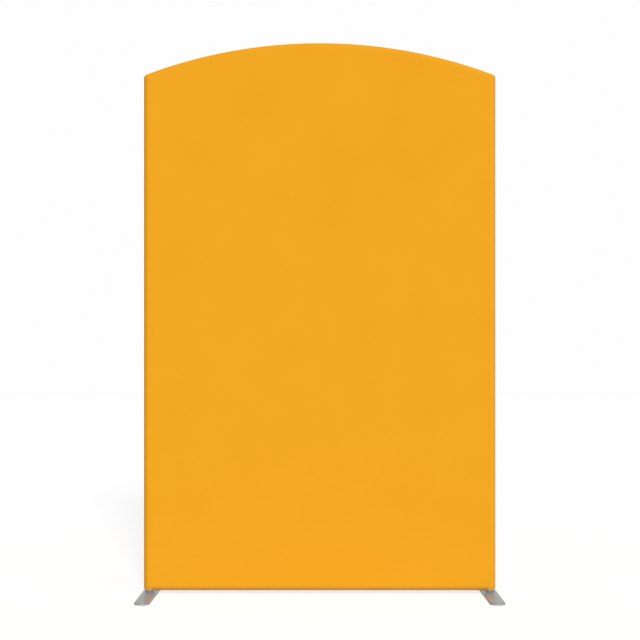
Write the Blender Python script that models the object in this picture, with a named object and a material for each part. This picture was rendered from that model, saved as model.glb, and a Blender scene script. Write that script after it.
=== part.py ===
"""Free-standing arched screen: a fabric sleeve stretched over a plug-together tube frame on two feet.

Metres, +Z up. The origin is on the floor in the middle of the screen, X runs along its width and
-Y is its front. Sizes are the named values below, and what fits another piece is worked out from it.
"""

from math import asin, cos, pi, radians, sin, sqrt

import bmesh
import bpy
from mathutils import Vector

# The sleeve's outline.
WIDTH = 1.200  # across the sleeve
HEIGHT = 1.884  # floor to the crown of the arch
ARCH_RISE = 0.1104  # crown above the corners where the arch would meet the sides
FLOOR_GAP = 0.016  # floor to the sleeve's bottom edge
BOTTOM_CORNER_R = 0.010
SHOULDER_CORNER_R = 0.013

# Fabric and fits.
FABRIC_T = 0.0008
TOUCH = 0.0003  # left between two pieces that touch
MERGE = 0.00001  # points nearer than this become one
RIM_STEPS = 6  # steps of the fabric's quarter round
CORNER_STEPS = 6  # steps of a corner's fillet
COLLAR_STEPS = 12  # steps of the half circle where a foot post comes through the sleeve

# Frame tubes and the spigots that plug into them.
TUBE_OD = 0.035
TUBE_WALL = 0.0015
SPIGOT_WALL = 0.0025
SPIGOT_LENGTH = 0.050
SPIGOT_RUN_IN = 0.002  # how far a spigot's bore goes on into its connector
TUBE_SIDES = 16  # flats round a tube
TURNING_SIDES = 24  # flats round a fit that turns
SMALL_SIDES = 12  # flats round a button, screw or peg
ARCH_STEPS = 10  # straight steps of one arch tube
SPLICE_Z = 0.800  # where a post's two tubes meet
CORNER_REACH = 0.045  # a corner connector's leg along the rail or arch, from the post's axis
SHOULDER_DROP = 0.045  # a shoulder connector's leg down the post
SOCKET_WEB = 0.008  # floor between the foot socket and the spigot above it

# Crossbar between the posts.
CROSSBAR_Z = 1.020
CROSSBAR_OD = 0.025
CROSSBAR_WALL = 0.0012
PLUG_COLLAR = 0.012
PLUG_LENGTH = 0.030
PLUG_BORE_R = 0.0075
PEG_R = 0.0040
PEG_REACH = 0.0020  # past the inside of the post's wall

# Spring buttons.
BUTTON_R = 0.0030
BUTTON_PROUD = 0.0020
BUTTON_DOME = 0.0012
FLANGE_R = 0.0045
FLANGE_T = 0.0012
SPRING_T = 0.0005
SPRING_W = 0.0070
SPRING_LENGTH = 0.018
SPRING_TAIL = 0.0045  # past the button's axis
SPRING_BEND_R = 0.0030
BEND_STEPS = 6

# Feet.
FOOT_LENGTH = 0.410
FOOT_MID_W = 0.0534
FOOT_TIP_W = 0.0512
FOOT_NOSE = 0.0198  # depth of the rounded end
FOOT_T = 0.0075
FOOT_EDGE_R = 0.0030
FOOT_UNDER_CHAMFER = 0.0010
EDGE_STEPS = 3
NOSE_STEPS = 12
PAD_T = 0.0012
PAD_LENGTH = 0.040
PAD_W = 0.036
PAD_CORNER_R = 0.006
PAD_INSET = 0.022  # from the foot's end to the pad
FOOT_POST_R = 0.0152
FOOT_POST_LENGTH = 0.100
FOOT_POST_WALL = 0.0035
FOOT_POST_CHAMFER = 0.0015
COLLAR_CLEARANCE = 0.0006  # fabric round the foot post
SCREW_R = 0.0040
SCREW_HEAD_R = 0.0075
SCREW_HEAD_T = 0.0035
SCREW_SOCKET_R = 0.0024
SCREW_SOCKET_DEPTH = 0.0025
SCREW_BITE = 0.014  # how far it goes up into the post
SCREW_ROOM = 0.003  # empty thread above its tip

# Zip low on the back panel.
ZIP_Z = 0.058  # above the floor
ZIP_LENGTH = 1.110
ZIP_SLOT_ROOM = 0.0006  # between the slider and each edge of the slot
TAPE_RUN_ON = 0.004  # tape past each end of the zip
TAPE_W = 0.0110
TAPE_T = 0.0007
CHAIN_W = 0.0052
CHAIN_T = 0.0024
SLIDER_LENGTH = 0.014
SLIDER_W = 0.0096
SLIDER_PLATE_T = 0.0012
SLIDER_POST = (0.0020, 0.0024)  # along the zip, across it
BRIDGE_GAP = 0.0016
BRIDGE_T = 0.0010
BRIDGE_W = 0.0014
BRIDGE_HALF = 0.0036
BRIDGE_LEG = 0.0008
PULL_LENGTH = 0.026
PULL_W = 0.0070
PULL_T = 0.0010
PULL_WINDOW = (0.0055, 0.0034)  # along the pull, across it
STOP_SIZE = (0.0030, 0.0012, 0.0012)
CHAIN_CUT = 0.0008  # chamfer along the chain's four edges

# Worked out from the values above.
TUBE_R = TUBE_OD / 2
BORE_R = TUBE_R - TUBE_WALL
SPIGOT_R = BORE_R - TOUCH
SPIGOT_BORE_R = SPIGOT_R - SPIGOT_WALL
SLEEVE_R = TUBE_R + TOUCH + FABRIC_T
POST_X = WIDTH / 2 - SLEEVE_R
RAIL_Z = FLOOR_GAP + SLEEVE_R
ARCH_R = ((WIDTH / 2) ** 2 + ARCH_RISE**2) / (2 * ARCH_RISE)
ARCH_Z = HEIGHT - ARCH_R
AXIS_R = ARCH_R - SLEEVE_R
SHOULDER_ANGLE = asin(POST_X / AXIS_R)
SHOULDER_Z = ARCH_Z + AXIS_R * cos(SHOULDER_ANGLE)
ARCH_END = SHOULDER_ANGLE - CORNER_REACH / AXIS_R
ARCH_STEP = ARCH_END / ARCH_STEPS
PLATE_BOTTOM = PAD_T + TOUCH
PLATE_TOP = PLATE_BOTTOM + FOOT_T
FOOT_POST_BOTTOM = PLATE_TOP + TOUCH
FOOT_POST_TOP = FOOT_POST_BOTTOM + FOOT_POST_LENGTH
SOCKET_TOP = FOOT_POST_TOP + TOUCH
CORNER_TOP = SOCKET_TOP + SOCKET_WEB
SHOULDER_FOOT = SHOULDER_Z - SHOULDER_DROP
COLLAR_R = FOOT_POST_R + COLLAR_CLEARANCE
RAIL_END = POST_X - CORNER_REACH
FLANGE_TOP = sqrt((SPIGOT_BORE_R * cos(pi / TUBE_SIDES)) ** 2 - FLANGE_R**2) - TOUCH
BUTTON_TIP = TUBE_R + BUTTON_PROUD
ZIP_FACE = SLEEVE_R - FABRIC_T - TOUCH  # the tapes' outer face, behind the fabric
CHAIN_MID = ZIP_FACE - TAPE_T / 2
SLIDER_X = ZIP_LENGTH / 2 - SLIDER_LENGTH / 2 - STOP_SIZE[0] - TOUCH

AXIS_X = Vector((1, 0, 0))
AXIS_Y = Vector((0, 1, 0))
AXIS_Z = Vector((0, 0, 1))
SIDE_NAMES = {-1: "left", 1: "right"}

# Colour, roughness and metallic of each finish.
FINISHES = {
    "orange_fabric": ((0.87, 0.39, 0.022, 1), 0.85, 0.0),
    "zip_tape": ((0.62, 0.27, 0.02, 1), 0.8, 0.0),
    "zip_nylon": ((0.55, 0.24, 0.02, 1), 0.5, 0.0),
    "zip_metal": ((0.55, 0.55, 0.56, 1), 0.35, 1.0),
    "aluminium_tube": ((0.66, 0.67, 0.68, 1), 0.4, 1.0),
    "black_nylon": ((0.03, 0.03, 0.032, 1), 0.55, 0.0),
    "spring_steel": ((0.50, 0.51, 0.53, 1), 0.3, 1.0),
    "satin_steel": ((0.47, 0.47, 0.475, 1), 0.3, 1.0),
    "zinc_screw": ((0.40, 0.40, 0.40, 1), 0.35, 1.0),
    "rubber_pad": ((0.02, 0.02, 0.02, 1), 0.9, 0.0),
}
materials = {}


def finish(name):
    """The material of that finish, made once."""
    if name not in materials:
        colour, roughness, metallic = FINISHES[name]
        made = bpy.data.materials.new(name)
        made.use_nodes = True
        shader = made.node_tree.nodes["Principled BSDF"]
        shader.inputs["Base Color"].default_value = colour
        shader.inputs["Roughness"].default_value = roughness
        shader.inputs["Metallic"].default_value = metallic
        materials[name] = made
    return materials[name]


# Mesh helpers.


def place(name, bm, look, origin=(0, 0, 0)):
    """Closes the mesh, faces it outwards and puts it in the scene, with its origin where it is asked."""
    bmesh.ops.remove_doubles(bm, verts=bm.verts, dist=MERGE)
    bmesh.ops.recalc_face_normals(bm, faces=bm.faces)
    bmesh.ops.translate(bm, verts=bm.verts, vec=-Vector(origin))
    mesh = bpy.data.meshes.new(name)
    bm.to_mesh(mesh)
    bm.free()
    mesh.shade_smooth()
    mesh.set_sharp_from_angle(angle=radians(35))
    mesh.materials.append(finish(look))
    made = bpy.data.objects.new(name, mesh)
    made.location = origin
    bpy.context.scene.collection.objects.link(made)
    return made


def hide(shape):
    """Marks a shape that only cuts, or is joined to, another."""
    shape.hide_render = True
    shape.display_type = "WIRE"
    return shape


def combine(body, shape, operation="DIFFERENCE"):
    """Cuts a hidden shape from a body, or joins it on."""
    step = body.modifiers.new(shape.name, "BOOLEAN")
    step.operation = operation
    step.solver = "EXACT"
    step.object = hide(shape)


def ring(bm, centre, across, up, radius, sides, offset=0.0):
    """Points round a circle in the plane of across and up. The offset is a share of one flat."""
    turns = [2 * pi * (i + offset) / sides for i in range(sides)]
    return [bm.verts.new(centre + radius * (cos(a) * across + sin(a) * up)) for a in turns]


def skin(bm, first, second):
    """Joins two closed loops of as many points with faces."""
    for i, point in enumerate(first):
        j = (i + 1) % len(first)
        bm.faces.new((point, first[j], second[j], second[i]))


def extruded(name, points, offset, look, origin=(0, 0, 0)):
    """A flat outline carried along a straight offset."""
    bm = bmesh.new()
    near = [bm.verts.new(p) for p in points]
    far = [bm.verts.new(p + offset) for p in points]
    skin(bm, near, far)
    bm.faces.new(near)
    bm.faces.new(far)
    return place(name, bm, look, origin)


def block(name, low, high, look, origin=(0, 0, 0)):
    """A box between two corners."""
    (x0, y0, z0), (x1, y1, z1) = low, high
    base = [Vector(p) for p in ((x0, y0, z0), (x1, y0, z0), (x1, y1, z0), (x0, y1, z0))]
    return extruded(name, base, (z1 - z0) * AXIS_Z, look, origin)


def swept(name, stations, radius, bore, look, sides=TUBE_SIDES):
    """A round tube or, with no bore, a bar. A station is a centre and a direction across the tube."""
    bm = bmesh.new()
    outer = [ring(bm, centre, across, AXIS_Y, radius, sides) for centre, across in stations]
    for here, ahead in zip(outer, outer[1:]):
        skin(bm, here, ahead)
    if bore:
        inner = [ring(bm, centre, across, AXIS_Y, bore, sides) for centre, across in stations]
        for here, ahead in zip(inner, inner[1:]):
            skin(bm, here, ahead)
        skin(bm, outer[0], inner[0])
        skin(bm, outer[-1], inner[-1])
    else:
        bm.faces.new(outer[0])
        bm.faces.new(outer[-1])
    return place(name, bm, look)


def turned(name, base, axis, profile, look, origin=(0, 0, 0), sides=SMALL_SIDES):
    """A turned piece. The profile's points are (distance along the axis, radius), from pole to pole.

    Its axis lies in the frame's plane. Its flats are half a step round from that plane and from a
    tube's flats, so that a hole's edges never meet a tube's edges.
    """
    across, up = AXIS_Y, axis.cross(AXIS_Y)
    bm = bmesh.new()
    rings = [ring(bm, base + t * axis, across, up, max(r, 1e-7), sides, 0.5) for t, r in profile]
    for here, ahead in zip(rings, rings[1:]):
        skin(bm, here, ahead)
    return place(name, bm, look, origin)


# The outline of the sleeve, drawn in by an inset, for x > 0.


def side_x(inset):
    return WIDTH / 2 - inset


def bottom_z(inset):
    return FLOOR_GAP + inset


def on_arch(inset, angle):
    """The arch at an angle from the crown."""
    return (ARCH_R - inset) * sin(angle), ARCH_Z + (ARCH_R - inset) * cos(angle)


def fillet(x, z, radius, start, end):
    """Points of an arc about (x, z), with both angles measured from +X."""
    turns = [start + (end - start) * i / CORNER_STEPS for i in range(CORNER_STEPS + 1)]
    return [(x + radius * cos(a), z + radius * sin(a)) for a in turns]


def bottom_corner(inset):
    """The rounded corner between the bottom edge and the side; sharp once the inset uses up its radius."""
    radius = max(BOTTOM_CORNER_R - inset, 0)
    return fillet(side_x(inset) - radius, bottom_z(inset) + radius, radius, -pi / 2, 0)


def shoulder_corner(inset):
    """The rounded corner between the side and the arch."""
    radius = max(SHOULDER_CORNER_R - inset, 0)
    x = side_x(inset) - radius
    rise = sqrt((ARCH_R - inset - radius) ** 2 - x**2)
    return fillet(x, ARCH_Z + rise, radius, 0, pi / 2 - asin(x / (ARCH_R - inset - radius)))


def bottom_run(inset):
    """Points of the bottom edge, close together where the foot post comes through."""
    end = bottom_corner(inset)[0][0]
    turns = [pi - pi * i / COLLAR_STEPS for i in range(COLLAR_STEPS)]
    places = [POST_X - COLLAR_R - FABRIC_T] + [POST_X + COLLAR_R * cos(a) for a in turns]
    return [(min(x, end), bottom_z(inset)) for x in places]


def outline(inset):
    """The whole outline, anticlockwise seen from the front, from the middle of the bottom edge."""
    arch = [on_arch(inset, ARCH_STEP * i) for i in range(ARCH_STEPS, 0, -1)]
    half = bottom_run(inset) + bottom_corner(inset) + shoulder_corner(inset) + arch
    mirrored = [(-x, z) for x, z in reversed(half)]
    return [(0, bottom_z(inset)), *half, on_arch(inset, 0), *mirrored]


# The sleeve.


def panel_loop(bm, face, radius, turn, hole):
    """One loop round the sleeve's rim, turn radians round from its edge to its flat face."""
    points = []
    for x, z in outline(SLEEVE_R - radius * cos(turn)):
        off_axis = abs(x) - POST_X
        collar = sqrt(max(hole**2 - off_axis**2, 0)) if z < RAIL_Z else 0
        points.append(bm.verts.new((x, face * max(radius * sin(turn), collar), z)))
    return points


def sleeve_panel(name, face):
    """Half the sleeve: a sheet that wraps round the frame and meets the other half at its edge.

    It also hugs the front or back of each foot post, as a hemmed collar.
    """
    bm = bmesh.new()
    start = asin(TOUCH / 2 / SLEEVE_R)
    turns = [start + (pi / 2 - start) * i / RIM_STEPS for i in range(RIM_STEPS + 1)]
    outer = [panel_loop(bm, face, SLEEVE_R, a, COLLAR_R + FABRIC_T) for a in turns]
    inner = [panel_loop(bm, face, SLEEVE_R - FABRIC_T, a, COLLAR_R) for a in turns]
    for loops in (outer, inner):
        for here, ahead in zip(loops, loops[1:]):
            skin(bm, here, ahead)
        bm.faces.new(loops[-1])
    skin(bm, outer[0], inner[0])
    return place(name, bm, "orange_fabric")


def zip_box(name, x, y, z, look, origin=(0, 0, 0)):
    """A box of the zip, with z measured from the zip's middle line."""
    low = (x[0], y[0], ZIP_Z + z[0])
    high = (x[1], y[1], ZIP_Z + z[1])
    return block(name, low, high, look, origin)


def zip_fastener(back_panel):
    """The zip: two tapes behind the slot's edges, the chain, its stops, the slider and the pull."""
    half, slot = ZIP_LENGTH / 2, SLIDER_W / 2 + ZIP_SLOT_ROOM
    slot_x = (-half - TOUCH, half + TOUCH)
    through = (ZIP_FACE, SLEEVE_R + FABRIC_T)
    combine(back_panel, zip_box("zip_slot", slot_x, through, (-slot, slot), "zip_tape"))
    tape_x, tape_y = (-half - TAPE_RUN_ON, half + TAPE_RUN_ON), (ZIP_FACE - TAPE_T, ZIP_FACE)
    edge = CHAIN_W / 2 + TOUCH
    zip_box("zip_tape_upper", tape_x, tape_y, (edge, edge + TAPE_W), "zip_tape")
    zip_box("zip_tape_lower", tape_x, tape_y, (-edge - TAPE_W, -edge), "zip_tape")
    chain_end = SLIDER_X + SLIDER_LENGTH / 2 - SLIDER_POST[0] - 2 * TOUCH
    chain(-half + STOP_SIZE[0] + TOUCH, chain_end)
    stop_y = (ZIP_FACE + TOUCH, ZIP_FACE + TOUCH + STOP_SIZE[1])
    top_x, low_x = (half - STOP_SIZE[0], half), (-half, -half + STOP_SIZE[0])
    near, far = edge, edge + STOP_SIZE[2]
    zip_box("zip_top_stop_upper", top_x, stop_y, (near, far), "zip_metal")
    zip_box("zip_top_stop_lower", top_x, stop_y, (-far, -near), "zip_metal")
    zip_box("zip_bottom_stop", low_x, stop_y, (-far, far), "zip_metal")
    zip_slider()


def chain(start, end):
    """The closed row of nylon teeth, a strip with its four edges cut off."""
    w, t, c = CHAIN_W / 2, CHAIN_T / 2, CHAIN_CUT
    corners = [(t, w - c), (t - c, w), (c - t, w), (-t, w - c)]
    corners += [(-y, -z) for y, z in corners]
    points = [Vector((start, CHAIN_MID + y, ZIP_Z + z)) for y, z in corners]
    extruded("zip_chain", points, (end - start) * AXIS_X, "zip_nylon")


def zip_slider():
    """Two plates on a short post, with a bridge that the pull turns on."""
    reach, half = SLIDER_LENGTH / 2, SLIDER_W / 2
    front = CHAIN_MID + CHAIN_T / 2 + TOUCH
    face = front + SLIDER_PLATE_T
    back = CHAIN_MID - CHAIN_T / 2 - TOUCH
    origin = (SLIDER_X, CHAIN_MID, ZIP_Z)
    span = (SLIDER_X - reach, SLIDER_X + reach)
    across = (-half, half)
    slider = zip_box("zip_slider", span, (front, face), across, "zip_metal", origin)
    plate_y = (back - SLIDER_PLATE_T, back)
    combine(slider, zip_box("slider_inner_plate", span, plate_y, across, "zip_metal"), "UNION")
    post_x = (span[1] - SLIDER_POST[0] - TOUCH, span[1] - TOUCH)
    post_y = (back - SLIDER_PLATE_T / 2, front + SLIDER_PLATE_T / 2)
    post_z = (-SLIDER_POST[1] / 2, SLIDER_POST[1] / 2)
    combine(slider, zip_box("slider_post", post_x, post_y, post_z, "zip_metal"), "UNION")
    combine(slider, bridge(face), "UNION")
    zip_pull(face + BRIDGE_GAP / 2)


def bridge(face):
    """The slider's bridge: a bar on two legs, which start inside the plate."""
    foot, under = face - SLIDER_PLATE_T / 2, face + BRIDGE_GAP
    top, a, b = under + BRIDGE_T, BRIDGE_HALF, BRIDGE_HALF - BRIDGE_LEG
    corners = [(-a, foot), (-a, top), (a, top), (a, foot), (b, foot), (b, under), (-b, under), (-b, foot)]
    points = [Vector((SLIDER_X + x, y, ZIP_Z - BRIDGE_W / 2)) for x, y in corners]
    return extruded("slider_bridge", points, BRIDGE_W * AXIS_Z, "zip_metal")


def zip_pull(hinge_y):
    """The pull tab, whose head bar lies under the slider's bridge. Its origin is on its hinge."""
    bar, half, thick = PULL_T / 2, PULL_W / 2, PULL_T / 2
    origin = (SLIDER_X, hinge_y, ZIP_Z)
    depth = (hinge_y - thick, hinge_y + thick)
    span = (SLIDER_X + bar - PULL_LENGTH, SLIDER_X + bar)
    pull = zip_box("zip_pull", span, depth, (-half, half), "zip_metal", origin)
    hole_x = (SLIDER_X - bar - PULL_WINDOW[0], SLIDER_X - bar)
    hole_z = (-PULL_WINDOW[1] / 2, PULL_WINDOW[1] / 2)
    deep = (depth[0] - thick, depth[1] + thick)
    combine(pull, zip_box("pull_window", hole_x, deep, hole_z, "zip_metal"))


# The frame.


def corner_body(name, hand, outer, inner):
    """A connector's flush body: round in section along both legs, with a mitred, rounded outer corner.

    outer and inner give the points of its outer and inner edge in the frame's plane at an inset.
    """
    bm = bmesh.new()
    loops = []
    for i in range(TUBE_SIDES // 2 + 1):
        turn = pi * i / (TUBE_SIDES // 2) - pi / 2
        reach, y = TUBE_R * cos(turn), TUBE_R * sin(turn)
        points = outer(SLEEVE_R - reach) + inner(SLEEVE_R + reach)[::-1]
        loops.append([bm.verts.new((hand * x, y, z)) for x, z in points])
    for here, ahead in zip(loops, loops[1:]):
        skin(bm, here, ahead)
    return place(name, bm, "black_nylon")


def upright(x, low, high):
    """Stations of a vertical tube."""
    return [(Vector((x, 0, z)), AXIS_X) for z in (low, high)]


def level(z, start, end):
    """Stations of a tube along X."""
    return [(Vector((x, 0, z)), AXIS_Z) for x in (start, end)]


def arched(hand, angles):
    """Stations of a tube along the arch."""
    points = [on_arch(SLEEVE_R, a) for a in angles]
    across = [Vector((hand * sin(a), 0, cos(a))) for a in angles]
    return [(Vector((hand * x, 0, z)), n) for (x, z), n in zip(points, across)]


def along(stations, share):
    """The stations of a straight tube, with its last one moved to a share of its length."""
    (start, across), (end, _) = stations
    return [(start, across), (start.lerp(end, share), across)]


def spigot(body, name, stations):
    """Joins a hollow spigot to a connector. Its first station is the face of the connector's body."""
    (face, across), (tip, _) = stations
    run = (tip - face).normalized()
    rooted = [(face - SPIGOT_RUN_IN / 2 * run, across), (tip, across)]
    combine(body, swept(name, rooted, SPIGOT_R, None, "black_nylon"), "UNION")
    hollow = [(face - SPIGOT_RUN_IN * run, across), (tip + SPIGOT_RUN_IN * run, across)]
    combine(body, swept(name + "_bore", hollow, SPIGOT_BORE_R, None, "black_nylon"))


def corner_connector(hand):
    """Bottom corner: a socket for the foot post, and spigots up into the post and along into the rail."""
    side = SIDE_NAMES[hand]
    sharp = CORNER_STEPS + 1

    def outer(inset):
        low = (RAIL_END, bottom_z(inset))
        return [low, *bottom_corner(inset), (side_x(inset), CORNER_TOP)]

    def inner(inset):
        corner = [(side_x(inset), bottom_z(inset))] * sharp
        return [(RAIL_END, bottom_z(inset)), *corner, (side_x(inset), CORNER_TOP)]

    body = corner_body(side + "_corner_connector", hand, outer, inner)
    x = hand * POST_X
    spigot(body, side + "_corner_up", upright(x, CORNER_TOP, CORNER_TOP + SPIGOT_LENGTH))
    inward = level(RAIL_Z, hand * RAIL_END, hand * (RAIL_END - SPIGOT_LENGTH))
    spigot(body, side + "_corner_along", inward)
    hole = upright(x, 0, SOCKET_TOP)
    radius = FOOT_POST_R + TOUCH
    combine(body, swept(side + "_socket", hole, radius, None, "black_nylon", TURNING_SIDES))
    return body


def shoulder_connector(hand):
    """Shoulder: joins a post to the arch, with a spigot down and one along the arch's last step."""
    side = SIDE_NAMES[hand]
    sharp = CORNER_STEPS + 1

    def outer(inset):
        low = (side_x(inset), SHOULDER_FOOT)
        return [low, *shoulder_corner(inset), on_arch(inset, ARCH_END)]

    def inner(inset):
        x = side_x(inset)
        corner = [(x, ARCH_Z + sqrt((ARCH_R - inset) ** 2 - x**2))] * sharp
        return [(x, SHOULDER_FOOT), *corner, on_arch(inset, ARCH_END)]

    body = corner_body(side + "_shoulder_connector", hand, outer, inner)
    down = upright(hand * POST_X, SHOULDER_FOOT, SHOULDER_FOOT - SPIGOT_LENGTH)
    spigot(body, side + "_shoulder_down", down)
    step = arched(hand, (ARCH_END, ARCH_END - ARCH_STEP))
    spigot(body, side + "_shoulder_along", along(step, arch_spigot_share()))
    return body


def arch_spigot_share():
    """A spigot in the arch stays inside one straight step of the tube."""
    step = AXIS_R * ARCH_STEP
    return min(SPIGOT_LENGTH, step - 2 * TOUCH) / step


def snap_lock(name, centre, outward, run, pieces):
    """A spring button through a tube's wall, its bent leaf spring, and the hole that both pieces have.

    centre is on the tube's axis under the button, and run points to the spigot's open end.
    """
    flange_low = FLANGE_TOP - FLANGE_T
    profile = [(flange_low, 0), (flange_low, FLANGE_R), (FLANGE_TOP, FLANGE_R), (FLANGE_TOP, BUTTON_R)]
    for i in range(EDGE_STEPS + 1):
        a = pi / 2 * i / EDGE_STEPS
        profile.append((BUTTON_TIP - BUTTON_DOME * (1 - sin(a)), BUTTON_R * cos(a)))
    turned(name + "_button", centre, outward, profile, "spring_steel", centre + BUTTON_TIP * outward)
    reach = (SPIGOT_BORE_R / 2, BUTTON_TIP + BUTTON_PROUD)
    hole_r = BUTTON_R + TOUCH
    hole = [(reach[0], 0), (reach[0], hole_r), (reach[1], hole_r), (reach[1], 0)]
    cutter = turned(name + "_button_hole", centre, outward, hole, "spring_steel")
    for piece in pieces:
        combine(piece, cutter)
    leaf_spring(name + "_spring", centre, outward, run, flange_low - TOUCH)


def leaf_spring(name, centre, outward, run, top):
    """A strip bent back on itself: one leg under the button, the other on the far wall of the bore."""
    high = top - SPRING_T / 2
    far = sqrt((SPIGOT_BORE_R * cos(pi / TUBE_SIDES)) ** 2 - (SPRING_W / 2) ** 2)
    low = TOUCH + SPRING_T / 2 - far
    turn_x = SPRING_LENGTH - SPRING_BEND_R
    bend = [pi / 2 - pi * i / BEND_STEPS for i in range(BEND_STEPS + 1)]
    line = [(-SPRING_TAIL, high)]
    line += [(turn_x + SPRING_BEND_R * cos(a), SPRING_BEND_R * sin(a)) for a in bend]
    line.append((-SPRING_TAIL, low))
    points = thickened([Vector(p) for p in line], SPRING_T / 2)
    side = outward.cross(run).normalized()
    base = centre - SPRING_W / 2 * side
    corners = [base + p.x * run + p.y * outward for p in points]
    extruded(name, corners, SPRING_W * side, "spring_steel")


def thickened(line, half):
    """The closed outline of a strip that runs along a line of 2-D points."""
    ways = [(b - a).normalized() for a, b in zip(line, line[1:])]
    ways = [ways[0], *ways, ways[-1]]
    normals = []
    for before, after in zip(ways, ways[1:]):
        middle = (before + after).normalized()
        normals.append(Vector((-middle.y, middle.x)) / middle.dot(after))
    left = [p + half * n for p, n in zip(line, normals)]
    right = [p - half * n for p, n in zip(line, normals)]
    return left + right[::-1]


def splice(name, stations):
    """A sleeve inside two tubes where they meet."""
    return swept(name, stations, SPIGOT_R, SPIGOT_BORE_R, "black_nylon")


def post(hand, corner, shoulder):
    """One post: two tubes over a splice, locked by three spring buttons that face the other post."""
    side = SIDE_NAMES[hand]
    x = hand * POST_X
    low, high = CORNER_TOP + TOUCH, SHOULDER_FOOT - TOUCH
    lower = swept(
        side + "_post_lower", upright(x, low, SPLICE_Z - TOUCH / 2), TUBE_R, BORE_R, "aluminium_tube"
    )
    upper = swept(
        side + "_post_upper", upright(x, SPLICE_Z + TOUCH / 2, high), TUBE_R, BORE_R, "aluminium_tube"
    )
    ends = upright(x, SPLICE_Z - SPIGOT_LENGTH, SPLICE_Z + SPIGOT_LENGTH)
    inside = splice(side + "_post_splice", ends)
    inward = -hand * AXIS_X
    middle = SPIGOT_LENGTH / 2
    locks = (
        ("_corner", CORNER_TOP + middle, AXIS_Z, (corner, lower)),
        ("_splice", SPLICE_Z + middle, AXIS_Z, (inside, upper)),
        ("_shoulder", SHOULDER_FOOT - middle, -AXIS_Z, (shoulder, upper)),
    )
    for tag, z, run, pieces in locks:
        snap_lock(side + tag, Vector((x, 0, z)), inward, run, pieces)
    crossbar_plug(hand, upper)


def crossbar_plug(hand, upper):
    """The crossbar's end plug: saddled on the post, with a peg through the post's inner wall."""
    side = SIDE_NAMES[hand]
    base = Vector((hand * (POST_X - TUBE_R), 0, CROSSBAR_Z))
    inward = -hand * AXIS_X
    collar_r, stem_r = CROSSBAR_OD / 2, CROSSBAR_OD / 2 - CROSSBAR_WALL - TOUCH
    end = PLUG_COLLAR + PLUG_LENGTH
    profile = [(-TUBE_R / 2, 0), (-TUBE_R / 2, collar_r), (PLUG_COLLAR, collar_r), (PLUG_COLLAR, stem_r)]
    profile += [(end, stem_r), (end, PLUG_BORE_R), (PLUG_COLLAR, PLUG_BORE_R), (PLUG_COLLAR, 0)]
    plug = turned(side + "_crossbar_plug", base, inward, profile, "black_nylon", sides=TUBE_SIDES)
    around = upright(hand * POST_X, CROSSBAR_Z - CROSSBAR_OD, CROSSBAR_Z + CROSSBAR_OD)
    saddle = swept(side + "_plug_saddle", around, TUBE_R + TOUCH, None, "black_nylon")
    combine(plug, saddle)
    reach = -TUBE_WALL - PEG_REACH
    peg = [(reach, 0), (reach, PEG_R), (PLUG_COLLAR / 2, PEG_R), (PLUG_COLLAR / 2, 0)]
    combine(plug, turned(side + "_plug_peg", base, inward, peg, "black_nylon"), "UNION")
    hole_r = PEG_R + TOUCH
    hole = [(2 * reach, 0), (2 * reach, hole_r), (PLUG_COLLAR, hole_r), (PLUG_COLLAR, 0)]
    combine(upper, turned(side + "_peg_hole", base, inward, hole, "black_nylon"))


def arch():
    """The two arch tubes over a splice at the crown, with a spring button that faces down."""
    gap = TOUCH / 2 / AXIS_R
    tubes = {}
    for hand in SIDE_NAMES:
        angles = [gap] + [ARCH_STEP * i for i in range(1, ARCH_STEPS)] + [ARCH_END - 2 * gap]
        name = SIDE_NAMES[hand] + "_arch_tube"
        tubes[hand] = swept(name, arched(hand, angles), TUBE_R, BORE_R, "aluminium_tube")
    ends = [along(arched(hand, (0, ARCH_STEP)), arch_spigot_share())[1] for hand in SIDE_NAMES]
    inside = splice("arch_splice", [ends[0], arched(1, (0,))[0], ends[1]])
    (start, _), (end, _) = arched(1, (0, ARCH_STEP))
    run = (end - start).normalized()
    snap_lock("arch", start.lerp(end, 0.5), run.cross(-AXIS_Y), run, (inside, tubes[1]))


def rail():
    """The bottom rail: two tubes over a splice, with a spring button that faces up."""
    tubes = {}
    for hand in SIDE_NAMES:
        ends = level(RAIL_Z, hand * TOUCH / 2, hand * (RAIL_END - TOUCH))
        name = SIDE_NAMES[hand] + "_rail_tube"
        tubes[hand] = swept(name, ends, TUBE_R, BORE_R, "aluminium_tube")
    inside = splice("rail_splice", level(RAIL_Z, -SPIGOT_LENGTH, SPIGOT_LENGTH))
    middle = Vector((SPIGOT_LENGTH / 2, 0, RAIL_Z))
    snap_lock("rail", middle, AXIS_Z, AXIS_X, (inside, tubes[1]))


def crossbar():
    """The bar that keeps the posts apart half way up."""
    end = POST_X - TUBE_R - PLUG_COLLAR - TOUCH
    radius = CROSSBAR_OD / 2
    swept("crossbar", level(CROSSBAR_Z, -end, end), radius, radius - CROSSBAR_WALL, "aluminium_tube")


# The feet.


def plate_outline(inset):
    """A foot plate from above: sides that taper a little to a half ellipse at each end."""
    half, nose = FOOT_LENGTH / 2 - FOOT_NOSE, FOOT_NOSE - inset
    tip, middle = FOOT_TIP_W / 2 - inset, FOOT_MID_W / 2 - inset
    turns = [pi * i / NOSE_STEPS for i in range(NOSE_STEPS + 1)]
    front = [(tip * cos(a), -half - nose * sin(a)) for a in turns]
    return [(middle, 0), *front, (-middle, 0), *[(-x, -y) for x, y in front]]


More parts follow.
